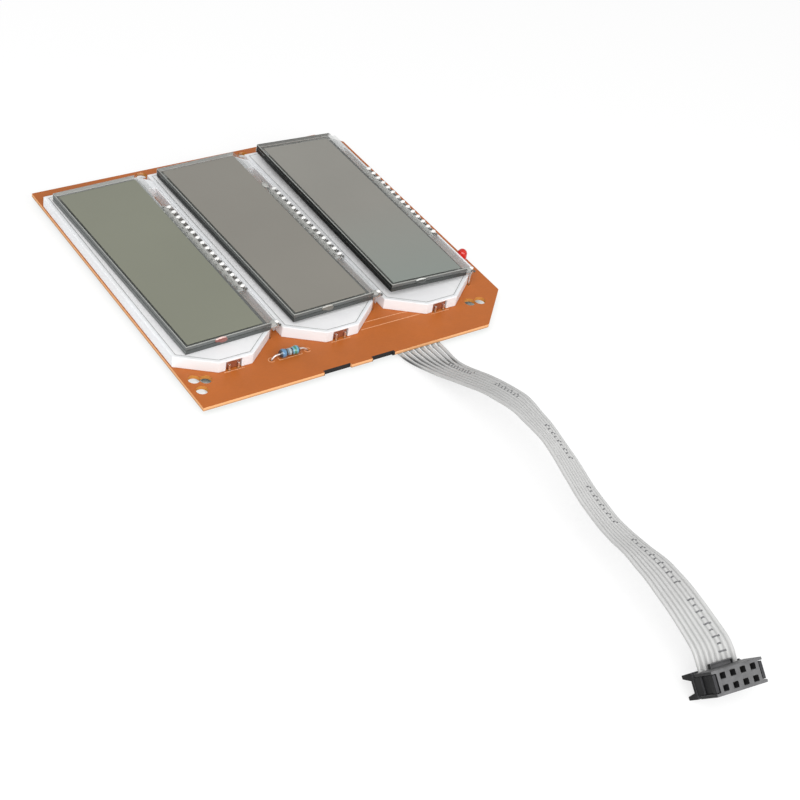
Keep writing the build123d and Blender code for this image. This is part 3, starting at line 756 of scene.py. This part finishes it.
def sheath_plastic():
    """Soft grey insulation: U runs along the ribbon in metres, V across it, with generic printed ticks."""
    settings = bpy.context.scene.panel_ribbon
    finish = Finish("ribbon_sheath")
    along, across = finish.axes(finish.node("ShaderNodeTexCoord", output="UV"))[:2]
    grain = finish.noise(2600, 2, 0.5)
    base = finish.mottled(finish.varied(finish.noise(110, 3, 0.5)), settings.sheath, 0.93)
    closing = finish.spread(along, 0.0, FAN_LENGTH * MM, settings.pitch / fan_pitch(), 1.0)
    from_groove = finish.maths("PINGPONG", across * closing, settings.pitch / 2)
    groove_shade = finish.spread(from_groove, 0.1 * MM, 0.26 * MM, 1.0, 0.0)
    # Painted shade in the grooves between wires, stronger towards the socket end.
    depth = finish.spread(along, 65 * MM, 105 * MM, 0.28, 0.58)
    base = finish.mix(groove_shade * depth, base, times(settings.sheath, 0.5))
    # Painted shade, a dark grey, between the fanned wires near the board.
    fan_gap_shade = finish.spread(from_groove, 0.12 * MM, 0.4 * MM, 1.0, 0.0)
    fan = finish.spread(along, (FAN_LENGTH - 4) * MM, (FAN_LENGTH + 1) * MM, 1.0, 0.0)
    base = finish.mix(fan_gap_shade * fan, base, colour(78, 78, 78))
    ticks = None
    for start, end, low_side, high_side in PRINTED_MARKS:
        inside = (along > start * MM) * (along < end * MM)
        inside = inside * (across > low_side * MM) * (across < high_side * MM)
        ticks = inside if ticks is None else finish.maths("MAXIMUM", ticks, inside)
    worn = finish.spread(finish.noise(3800, 3, 0.7), 0.3, 0.5, 0.55, 1.0)
    return finish.close(
        Base_Color=finish.mix(ticks * worn, base, settings.print_ink),
        Roughness=finish.varied(grain, 0.4, 0.5),
        Normal=finish.bump(grain, 0.01, 0.3),
        Subsurface_Weight=0.08,
        Subsurface_Radius=(1, 1, 1),
        Subsurface_Scale=0.5 * MM,
    )


def plain_sheath():
    """The same insulation on the single wires under the board."""
    finish = Finish("ribbon_sheath_plain")
    grain = finish.noise(2600, 2, 0.5)
    return finish.close(
        Base_Color=finish.mottled(finish.varied(grain), bpy.context.scene.panel_ribbon.sheath, 0.93),
        Roughness=0.45,
        Normal=finish.bump(grain, 0.01, 0.3),
    )


# Pieces


class PANEL_OT_board(bpy.types.Operator):
    """Gives the circuit board its laminate and prints its markings"""

    bl_idname = "panel.board"
    bl_label = "Circuit board"

    def execute(self, context):
        settings = context.scene.panel_board
        dress("circuit_board", laminate())
        width = settings.ink_width / MM
        lines = [
            ((53.2, 13.26), (64.2, 13.05), (66.2, 12.74)),
            ((50.8, 10.9), (68.9, 10.74)),
            ((25.6, 8.5), (25.6, 10.4), (32.1, 10.4), (32.1, 8.5), (25.6, 8.5)),
        ]
        lines += [((display["case"] + 10.6, 9.5), (display["case"] + 16.2, 9.5)) for display in DISPLAYS.values()]
        rings = [[(x + a, 9.35 + b) for a, b in circle(0.8, 24)[:22]] for x in (23.74, 33.98)]
        form = bmesh.new()
        for line in lines:
            strip(form, line, width, 0.01, 0.02)
        for ring in rings:
            strip(form, ring, width * 0.8, 0.01, 0.02)
        new_piece("board_markings", form, ink("marking_ink", settings.ink))
        return {"FINISHED"}


class PANEL_OT_cases(bpy.types.Operator):
    """Rounds the backlight cases and finishes their films and light guides"""

    bl_idname = "panel.cases"
    bl_label = "Backlight cases"

    def execute(self, context):
        rounding = context.scene.panel_displays.edge_round / MM
        plastic = white_plastic()
        film = diffuser_film()
        guide = clear_plastic("light_guide_plastic", (0.9, 0.92, 0.92))
        for name in DISPLAYS:
            softened(f"{name}_case", f"{name}_backlight_case", plastic, rounding)
            softened(f"{name}_diffuser", f"{name}_diffuser_sheet", film, 0.05)
            dress(f"{name}_light_guide", guide)
            points = [(vert.co - BOARD_CORNER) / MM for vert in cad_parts[f"{name}_diffuser_sheet"].data.vertices]
            top = max(point.z for point in points)
            middle = sum(points, Vector()) / len(points)
            rim = [point for point in points if point.z > top - 1e-3]
            rim.sort(key=lambda point: math.atan2(point.y - middle.y, point.x - middle.x))
            form = bmesh.new()
            strip(form, [(point.x, point.y) for point in rim + rim[:1]], 0.16, top + 0.005, 0.02)
            # A grey strip along each diffuser's rim is a painted shadow of the gap at the film's edge.
            shadow = resin(f"{name}_gap_shadow", colour(182, 184, 182), 0.6)
            new_piece(f"{name}_film_gap", form, shadow)
        return {"FINISHED"}


class PANEL_OT_lamps(bpy.types.Operator):
    """Makes the backlight lamps, their legs and the red status lamp"""

    bl_idname = "panel.lamps"
    bl_label = "Lamps"

    def execute(self, context):
        clear = resin("lamp_epoxy", colour(146, 84, 60), 0.12)
        red = resin("status_lamp_epoxy", colour(236, 44, 30), 0.08, transmission=0.35)
        tin = metal("tinned_lead", context.scene.panel_pins.tin, 0.22, 2600, 0.006)
        for name in DISPLAYS:
            dress(f"{name}_backlight_lamp", clear)
            softened(f"{name}_lamp_legs", f"{name}_backlight_lamp_legs", tin, 0.06, 1)
        low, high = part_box("status_lamp")
        middle = (low + high) / 2
        flange = (high.x - low.x) / 2
        radius = flange * 0.93
        straight = high.z - flange
        outline = [(0, low.z), (flange - 0.05 * MM, low.z), (flange, low.z + 0.05 * MM), (flange, low.z + 0.8 * MM)]
        outline += [(radius, low.z + 0.9 * MM), (radius, straight)]
        for i in range(1, 9):
            turn = math.pi / 2 * i / 8
            outline.append((radius * math.cos(turn), straight + flange * math.sin(turn)))
        form = bmesh.new()
        turned(form, [(middle.x + r, middle.y, z) for r, z in outline], (middle.x, middle.y, 0), (0, 0, 1))
        lens = new_piece("status_lamp_lens", form, red, smooth=40)
        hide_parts("status_lamp")
        dress("status_lamp_leads", tin)
        return {"FINISHED"}


def film_sheet(name, side, material, base, right_front, right_back):
    """A film on a display's glass, with its edges broken; it stands for its CAD node."""
    form = bmesh.new()
    glass = glass_frame(name)
    back = DISPLAYS[name]["film"][2]
    outline = ((FILM_INSET, FILM_INSET), (right_front, FILM_INSET), (right_back, back), (FILM_INSET, back))
    sheet = form.faces.new([form.verts.new(glass @ Vector((x, y, base))) for x, y in outline])
    grown = bmesh.ops.extrude_face_region(form, geom=[sheet])["geom"]
    rise = glass.to_3x3() @ Vector((0, 0, FILM_THICKNESS))
    bmesh.ops.translate(form, vec=rise, verts=[item for item in grown if isinstance(item, bmesh.types.BMVert)])
    bevelled(form, form.edges[:], 0.05)
    bmesh.ops.recalc_face_normals(form, faces=form.faces)
    film = new_piece(f"{name}_{side}_film", form, material)
    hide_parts(f"{name}_{side}_polarizer")


class PANEL_OT_displays(bpy.types.Operator):
    """Finishes the glass, films and seals of the three displays"""

    bl_idname = "panel.displays"
    bl_label = "Display glass"

    def execute(self, context):
        settings = context.scene.panel_displays
        seal = resin("edge_seal_resin", colour(96, 98, 96), behind=colour(172, 172, 168))
        rear = polarizer("rear_film", colour(122, 122, 116))
        for name, display in DISPLAYS.items():
            glass = glass_frame(name)
            front = settings.right_film_front if name == "right" else None
            film = polarizer(f"{name}_front_film", getattr(settings, f"{name}_film"), front)
            for plate, rounding in (("upper", 0.16), ("lower", 0.09)):
                clear = display_glass(name, plate)
                softened(f"{name}_{plate}_plate", f"{name}_{plate}_glass", clear, rounding)
            film_sheet(name, "front", film, FRONT_FILM_BASE, *display["film"][:2])
            film_sheet(name, "rear", rear, 0, REAR_FILM_WIDTH, REAR_FILM_WIDTH)
            dress(f"{name}_edge_seal", seal)
            # The plug's top colour is a painted highlight where the resin faces up.
            x, tone, top = display["plug"]
            form = bmesh.new()
            bead(form, glass @ Matrix.Translation((x, -0.08, 1.95)), (1.7, 0.42, 0.72))
            bead(form, glass @ Matrix.Translation((x + 0.7, -0.05, 1.45)), (1.2, 0.34, 0.6))
            plug_resin = resin(f"{name}_plug_resin", tone, 0.15, top=top)
            fill_plug = new_piece(f"{name}_fill_plug", form, plug_resin, smooth=60)
            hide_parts(f"{name}_fill_port_seal")
        return {"FINISHED"}


def clip(form, place, settings):
    """One sheet metal clip on the ledge; place is a matrix on the underside of the glass, at its right edge."""
    sheet = settings.sheet / MM
    reach = settings.reach / MM
    low = UNDER_GLASS - sheet / 2
    high = LEDGE_HEIGHT + sheet / 2
    out = sheet / 2
    corners = [(-reach, low), (out, low), (out, high), (0.3 - reach, high), (-reach - 0.1, high + 0.22)]
    line = bent([Vector((x, 0, z)) for x, z in corners], 0.26)
    places = [place @ at for at in sections(line, Vector((0, 1, 0)))]
    swept(form, oblong(settings.width / MM / 2, sheet / 2), places)


def pins(name, spots, settings):
    """Clips at spots along a display's glass, with a leg from each down through the board."""
    display = DISPLAYS[name]
    glass = glass_frame(name)
    foot_x = display["case"] + PIN_ROW_X
    form = bmesh.new()
    for y in spots:
        place = glass @ Matrix.Translation((GLASS_WIDTH, y, 0))
        clip(form, place, settings)
        edge = (place @ Vector((0, 0, UNDER_GLASS - 0.09)) - BOARD_CORNER) / MM
        top = edge.z + (edge.x - foot_x) * math.tan(math.radians(display["tilt"]))
        corners = ((foot_x - 0.5, top), (foot_x, top), (foot_x, TAIL_LEVEL + LEG_TIP))
        line = bent([on_board(x, edge.y, z) for x, z in corners], 0.25 * MM)
        places = sections(line, Vector((0, 1, 0)))
        places.append(Matrix.Translation((0, 0, -LEG_TIP * MM)) @ places[-1] @ Matrix.Diagonal((0.6, 0.5, 1, 1)))
        swept(form, oblong(0.25 * MM, 0.125 * MM), places)
    return form


def coat(name, start, end):
    """A wavy half-round bead of resin along the tips of a display's clips."""
    glass = glass_frame(name)
    steps = 90
    section = [(math.cos(a * math.pi / 8), math.sin(a * math.pi / 8)) for a in range(9)]
    places = []
    for i in range(steps + 1):
        t = i / steps
        y = start + (end - start) * t
        swell = math.sin(math.pi * min(1, max(0.02, min(t, 1 - t) * 14)) / 2) ** 0.5
        wave = noise.noise(Vector((y * 0.35, DISPLAYS[name]["case"], 0)))
        size = Matrix.Diagonal(((0.72 + 0.1 * wave) * swell, (0.32 + 0.1 * wave) * swell, 1, 1))
        at = Vector((GLASS_WIDTH - 1.6 + 0.08 * wave, y, LEDGE_HEIGHT + 0.01))
        places.append(glass @ looking(at, Vector((0, -1, 0)), Vector((1, 0, 0))) @ size)
    form = bmesh.new()
    swept(form, section, places)
    return form


class PANEL_OT_pins(bpy.types.Operator):
    """Bends the contact pins round the glass ledges and coats them with clear resin"""

    bl_idname = "panel.pins"
    bl_label = "Contact pins"

    def execute(self, context):
        settings = context.scene.panel_pins
        tin = metal("tinned_pin", settings.tin, 0.2, 700, 0.004)
        coat_resin = resin("pin_coat_resin", settings.coat, 0.3)
        glint_paint = resin("pin_drop_resin", colour(244, 244, 242), 0.15)
        shadow_dot_paint = resin("pin_root_resin", colour(84, 82, 78), 0.3)
        for name, display in DISPLAYS.items():
            spots = [display["first"] + i * PIN_PITCH for i in range(display["pins"])]
            row = new_piece(f"{name}_pins", pins(name, spots, settings), tin, smooth=40)
            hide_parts(f"{name}_contact_pins")
            single = pins(name, [SUPPORT_PIN_Y], settings)
            lone = new_piece(f"{name}_corner_pin", single, tin, smooth=40)
            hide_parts(f"{name}_support_pin")
            ledge = glass_frame(name) @ Matrix.Translation((GLASS_WIDTH, 0, LEDGE_HEIGHT + 0.1))
            coating = coat(name, spots[0] - 1.4, spots[-1] + 1.4)
            drops = bmesh.new()
            roots = bmesh.new()
            for y in (*spots, SUPPORT_PIN_Y):
                # White beads over each clip's bend are a painted highlight, the glint of the bent tin.
                bead(drops, ledge @ Matrix.Translation((-0.3, y, 0)), (0.72, 0.52, 0.46))
                # Dark beads beside each leg are painted shadow under the clip's bend.
                bead(roots, ledge @ Matrix.Translation((0.4, y - 0.75, -0.65)), (0.32, 0.34, 0.34))
            bead(coating, ledge @ Matrix.Translation((-1.3, SUPPORT_PIN_Y, 0)), (1.0, 0.95, 0.34))
            if name == "middle":
                bead(coating, ledge @ Matrix.Translation((-2.7, spots[-1] + 1.1, 1.0)), (0.9, 1.3, 0.5))
            for part, form, material in (
                ("drops", drops, glint_paint), ("roots", roots, shadow_dot_paint), ("coat", coating, coat_resin)
            ):
                new_piece(f"{name}_pin_{part}", form, material, smooth=60)
        return {"FINISHED"}


class PANEL_OT_resistor(bpy.types.Operator):
    """Turns the resistor's body and colours its bands"""

    bl_idname = "panel.resistor"
    bl_label = "Resistor"

    def execute(self, context):
        low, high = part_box("resistor_body")
        length = high.x - low.x - 0.8 * MM
        left = low.x + 0.2 * MM
        axis = Vector((0, (low.y + high.y) / 2, (low.z + high.z) / 2 - 0.2 * MM))
        half = ((0.0, 0.28), (0.0, 0.8), (0.3, 1.04), (0.75, 1.14), (1.2, 1.1), (1.6, 0.95), (2.0, 0.9))
        outline = [(x, r) for x, r in half] + [(length / MM - x, r) for x, r in reversed(half)]
        form = bmesh.new()
        turned(form, [(left + x * MM, axis.y, axis.z + r * MM) for x, r in outline], axis, (1, 0, 0))
        body = new_piece("resistor_shell", form, resistor_lacquer(left, length), smooth=50)
        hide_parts("resistor_body")
        middle = (axis - BOARD_CORNER) / MM
        form = bmesh.new()
        for side, end in ((-1, left), (1, left + length)):
            x = (end - BOARD_CORNER.x) / MM
            foot_x = x + 0.2 + side * 2.5
            corners = ((x - side * 0.2, middle.z), (x + side * 1.3, middle.z - 0.1), (foot_x, 0), (foot_x, TAIL_LEVEL))
            line = bent([on_board(x, middle.y, z) for x, z in corners], 0.5 * MM, 6)
            swept(form, circle(0.26 * MM, 12), sections(line, Vector((0, 1, 0))))
        # The lead metal's warm tint is a painted reflection of the orange board.
        board_tinted_lead = metal("resistor_lead", (0.78, 0.7, 0.66), 0.3, 1500, 0.004)
        wire = new_piece("resistor_wire", form, board_tinted_lead, smooth=40)
        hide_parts("resistor_leads")
        return {"FINISHED"}


def tracks():
    """The corners of the copper tracks that join the pins and the ribbon to the chip, in millimetres."""
    chip_x, chip_y = CHIP_PLACE
    made = []

    def pin(name, number):
        return DISPLAYS[name]["case"] + PIN_ROW_X, DISPLAYS[name]["first"] + number * PIN_PITCH

    for i, leg in enumerate(CHIP_LEGS):
        for (x, y), turn_x, foot_x in (
            (pin("left", i + 5), 36.5 - 0.7 * i, chip_x - CHIP_REACH),
            (pin("middle", i + 3), 51.2 + 0.6 * i, chip_x + CHIP_REACH),
        ):
            made.append([(x, y), (turn_x, y), (turn_x, chip_y + leg), (foot_x, chip_y + leg)])
        x, y = pin("right", i + 3)
        turn_x, run_y, foot_x = 77 + 0.9 * i, 60 + 0.9 * i, chip_x - leg
        made.append([(x, y), (turn_x, y), (turn_x, run_y), (foot_x, run_y), (foot_x, chip_y + CHIP_REACH)])
    for k in range(8):
        foot_x, run_y, pad_x = chip_x + CHIP_LEGS[k + 2], 11.5 + 0.8 * k, 55.1 + PAD_PITCH * k
        made.append([(foot_x, chip_y - CHIP_REACH), (foot_x, run_y), (pad_x, run_y), (pad_x, 9.0)])
    return made


class PANEL_OT_underside(bpy.types.Operator):
    """Finishes the driver chip, its legs, the copper tracks and the solder joints"""

    bl_idname = "panel.underside"
    bl_label = "Underside"

    def execute(self, context):
        softened("driver_chip_body", "driver_chip", dark_plastic("chip_epoxy", colour(40, 40, 42)), 0.12)
        dress("driver_chip_legs", bpy.data.materials["tinned_pin"])
        solder = metal("soft_solder", (0.74, 0.75, 0.76), 0.26, 1500, 0.02)
        for joint in (*(f"{name}_pin" for name in DISPLAYS), "resistor_and_lamp", "backlight_lamp", "ribbon_wire"):
            dress(f"{joint}_solder", solder)
        form = bmesh.new()
        for corners in tracks():
            line = bent([Vector((x, y, 0)) for x, y in corners], 0.5, 1)
            strip(form, [(x, y) for x, y, z in line], 0.4, -BOARD_THICKNESS / MM - 0.01, 0.03)
        new_piece("board_tracks", form, resin("masked_copper", colour(92, 138, 78), 0.35))
        return {"FINISHED"}


def between(table, value):
    """A value read from a table of pairs, eased from one to the next."""
    if value <= table[0][0]:
        return table[0][1]
    for (a, first), (b, second) in zip(table, table[1:]):
        if value <= b:
            t = (value - a) / (b - a)
            return first + (second - first) * t * t * (3 - 2 * t)
    return table[-1][1]


def smooth_line(points, name):
    """The points of a smooth curve that has the given ones as its control points."""
    curve = bpy.data.curves.new(name, "CURVE")
    curve.dimensions = "3D"
    spline = curve.splines.new("NURBS")
    spline.points.add(len(points) - 1)
    for point, place in zip(spline.points, points):
        point.co = (*place, 1)
    spline.order_u = 3
    spline.use_endpoint_u = True
    spline.resolution_u = 12
    holder = linked(name, curve)
    bpy.context.view_layer.update()
    mesh = bpy.data.meshes.new_from_object(holder.evaluated_get(bpy.context.evaluated_depsgraph_get()))
    line = [vert.co.copy() for vert in mesh.vertices]
    bpy.data.objects.remove(holder)
    bpy.data.curves.remove(curve)
    bpy.data.meshes.remove(mesh)
    return line


class PANEL_OT_ribbon(bpy.types.Operator):
    """Lays the ribbon from the board to its socket, wire beside wire, and the wire ends under the board"""

    bl_idname = "panel.ribbon"
    bl_label = "Ribbon"

    def execute(self, context):
        settings = context.scene.panel_ribbon
        line = smooth_line([on_board(*point) for point in RIBBON_ROUTE], "ribbon_line")
        distances = [0.0]
        for a, b in zip(line, line[1:]):
            distances.append(distances[-1] + (b - a).length)
        places = []
        for point, ahead in ways(line):
            ahead.normalize()
            level = ahead.cross(Vector((0, 0, 1))).normalized() * -1
            roll = math.radians(between(RIBBON_ROLL, (BOARD_CORNER.y - point.y) / MM))
            places.append(looking(point, ahead, Matrix.Rotation(-roll, 3, ahead) @ level))
        steps = [k - (settings.wires - 1) / 2 for k in range(settings.wires)]
        round_wire = circle(settings.wire / 2, 12)
        form = bmesh.new()
        layer = form.loops.layers.uv.new("UVMap")

        def lay(section, rings, first=0):
            """Sweeps a section, and writes distance along and place across for every corner of it."""
            count = len(form.verts)
            faces = swept(form, section, rings)
            form.verts.index_update()
            for face in faces:
                for loop in face.loops:
                    i = first + (loop.vert.index - count) // len(section)
                    loop[layer].uv = (distances[i], (places[i].inverted() @ loop.vert.co).x)

        fan = ((0, fan_pitch()), (FAN_LENGTH * MM, settings.pitch))
        for step in steps:
            shifts = [Matrix.Translation((step * between(fan, distance), 0, 0)) for distance in distances]
            lay(round_wire, [place @ shift for place, shift in zip(places, shifts)])
        first = next(i for i, d in enumerate(distances) if d > 0.8 * FAN_LENGTH * MM)
        lay(oblong(steps[-1] * settings.pitch, 0.2 * MM), places[first:], first)
        ribbon = new_piece("ribbon", form, sheath_plastic(), smooth=45)
        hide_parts("ribbon_cable", "ribbon_clamped_end")
        form = bmesh.new()
        copper = bmesh.new()
        across = Vector((1, 0, 0))
        for step in steps:
            edge = on_board(*RIBBON_ROUTE[0]) + Vector((step * fan_pitch(), 0, 0))
            pad_x = RIBBON_ROUTE[0][0] + step * PAD_PITCH
            bare = on_board(pad_x, 5.0, -1.55)
            end = on_board(pad_x, 8.6, -BOARD_THICKNESS / MM - 0.2)
            out = edge + (edge - bare).normalized() * 0.4 * MM
            swept(form, round_wire, sections([out, edge.lerp(bare, 0.5), bare], across))
            swept(copper, circle(0.2 * MM, 8), sections([bare - (end - bare) * 0.2, bare, end], across))
        ends = new_piece("ribbon_wire_ends", form, plain_sheath(), smooth=45)
        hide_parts("ribbon_wires")
        new_piece("ribbon_wire_strands", copper, bpy.data.materials["tinned_lead"], smooth=45)
        return {"FINISHED"}


class PANEL_OT_socket(bpy.types.Operator):
    """Finishes the socket on the ribbon's end"""

    bl_idname = "panel.socket"
    bl_label = "Socket"

    def execute(self, context):
        settings = context.scene.panel_socket
        rows = Matrix.Rotation(math.radians(SOCKET_TURN), 3, "Z") @ Vector((1, 0, 0))
        rounding = settings.edge_round / MM
        # The housing's and the clamp's end faces, across the rows, get painted shade.
        housing = dark_plastic("socket_plastic", settings.plastic, rows)
        clamp = dark_plastic("clamp_plastic", settings.clamp, rows)
        softened("socket_housing", "socket_body", housing, rounding)
        softened("socket_clamp", "socket_cap", clamp, rounding)
        dress("socket_contacts", metal("contact_plating", (0.06, 0.055, 0.05), 0.5, 2600, 0.004))
        return {"FINISHED"}


# Stage

CAMERA_PLACE = (-0.20382, -0.29922, 0.25421)
CAMERA_AXES = (  # right, up and back
    (0.82391, -0.54713, 0.14773),
    (0.25783, 0.59401, 0.76202),
    (-0.50468, -0.58975, 0.63047),
)
FLOOR_GLOW = 0.62  # how much of the floor shows as white where nothing stands over it
WHITE_GLOW = 1.12
BACKDROP_GREY = 0.8


def area_lamp(name, place, target, size, power):
    lamp = bpy.data.lights.new(name, "AREA")
    lamp.shape = "DISK"
    lamp.size = size
    lamp.energy = power
    holder = linked(name, lamp)
    holder.location = place
    holder.rotation_euler = (Vector(target) - Vector(place)).to_track_quat("-Z", "Y").to_euler()


def paper_floor():
    """White paper that shows as plain white, but keeps its shade under the board."""
    finish = Finish("paper_floor")
    x, y = finish.axes()[:2]
    side, depth = board_high.x, board_high.y
    shaded = None
    for value, open_at, full_at in (
        (x, -side + 4.9 * MM, -side + 6.3 * MM),
        (x * -1, -side + 2 * MM, -side + 7 * MM),
        (y, -depth + 2.5 * MM, -depth + 6 * MM),
        (y * -1, -depth - 2.5 * MM, -depth + 0.5 * MM),
        (y - x, 15 * MM - side - depth, 20 * MM - side - depth),
    ):
        step = finish.spread(value, open_at, full_at)
        shaded = step if shaded is None else shaded * step
    tooth = finish.bump(finish.noise(900, 2, 0.5), 0.02, 0.1)
    paper = finish.node("ShaderNodeBsdfDiffuse", {}, {"Color": (0.86, 0.86, 0.86), "Normal": tooth})
    glow = finish.node("ShaderNodeEmission", {}, {"Color": (1, 1, 1), "Strength": WHITE_GLOW})
    return finish.close(finish.blend(finish.seen() * (1 - shaded) * FLOOR_GLOW, paper, glow))


class PANEL_OT_stage(bpy.types.Operator):
    """Sets the camera, the lamps, the sky and the floor"""

    bl_idname = "panel.stage"
    bl_label = "Stage"

    def execute(self, context):
        scene = context.scene
        settings = scene.panel_stage
        data = bpy.data.cameras.new("photo_camera")
        data.lens = settings.lens
        data.sensor_width = 36
        data.clip_end = 20
        camera = linked("photo_camera", data)
        camera.matrix_world = Matrix.Translation(CAMERA_PLACE) @ Matrix(CAMERA_AXES).transposed().to_4x4()
        scene.camera = camera

        studio = Finish("studio", "World")
        sky, backdrop = (
            studio.node("ShaderNodeBackground", {}, {"Color": (level, level, level), "Strength": strength})
            for level, strength in ((1, settings.sky), (BACKDROP_GREY, 1))
        )
        scene.world = studio.close(studio.blend(studio.seen(), sky, backdrop))
        area_lamp("key_lamp", (-0.45, -0.5, 0.68), (0, -0.03, 0), 0.8, settings.key)
        area_lamp("fill_lamp", (0.1, -0.85, 0.45), (0, -0.05, 0), 0.6, settings.fill)

        form = bmesh.new()
        bmesh.ops.create_grid(form, x_segments=1, y_segments=1, size=3.0)
        floor = solid("floor", form, paper_floor())
        scene.view_settings.view_transform = "Standard"
        return {"FINISHED"}


class PANEL_PT_sidebar(bpy.types.Panel):
    """Lists the pieces of the display panel"""

    bl_idname = "PANEL_PT_sidebar"
    bl_label = "Display panel"
    bl_space_type = "VIEW_3D"
    bl_region_type = "UI"
    bl_category = "Display panel"

    def draw(self, context):
        for group in GROUPS:
            box = self.layout.box()
            settings = getattr(context.scene, group)
            for key in settings.__annotations__:
                box.prop(settings, key)
        for operator in OPERATORS:
            self.layout.operator(operator.bl_idname)


GROUPS = {
    "panel_board": PanelBoard,
    "panel_displays": PanelDisplays,
    "panel_pins": PanelPins,
    "panel_ribbon": PanelRibbon,
    "panel_socket": PanelSocket,
    "panel_stage": PanelStage,
}
OPERATORS = (
    PANEL_OT_stage,
    PANEL_OT_socket,
    PANEL_OT_board,
    PANEL_OT_cases,
    PANEL_OT_displays,
    PANEL_OT_pins,
    PANEL_OT_lamps,
    PANEL_OT_resistor,
    PANEL_OT_underside,
    PANEL_OT_ribbon,
)


def register():
    for listed in (*GROUPS.values(), *OPERATORS, PANEL_PT_sidebar):
        bpy.utils.register_class(listed)
    for name, group in GROUPS.items():
        setattr(bpy.types.Scene, name, PointerProperty(type=group))


def unregister():
    for name in GROUPS:
        delattr(bpy.types.Scene, name)
    for listed in reversed((*GROUPS.values(), *OPERATORS, PANEL_PT_sidebar)):
        bpy.utils.unregister_class(listed)


def main():
    register()
    for operator in OPERATORS:
        group, name = operator.bl_idname.split(".")
        getattr(getattr(bpy.ops, group), name)()


if __name__ == "__main__":
    main()
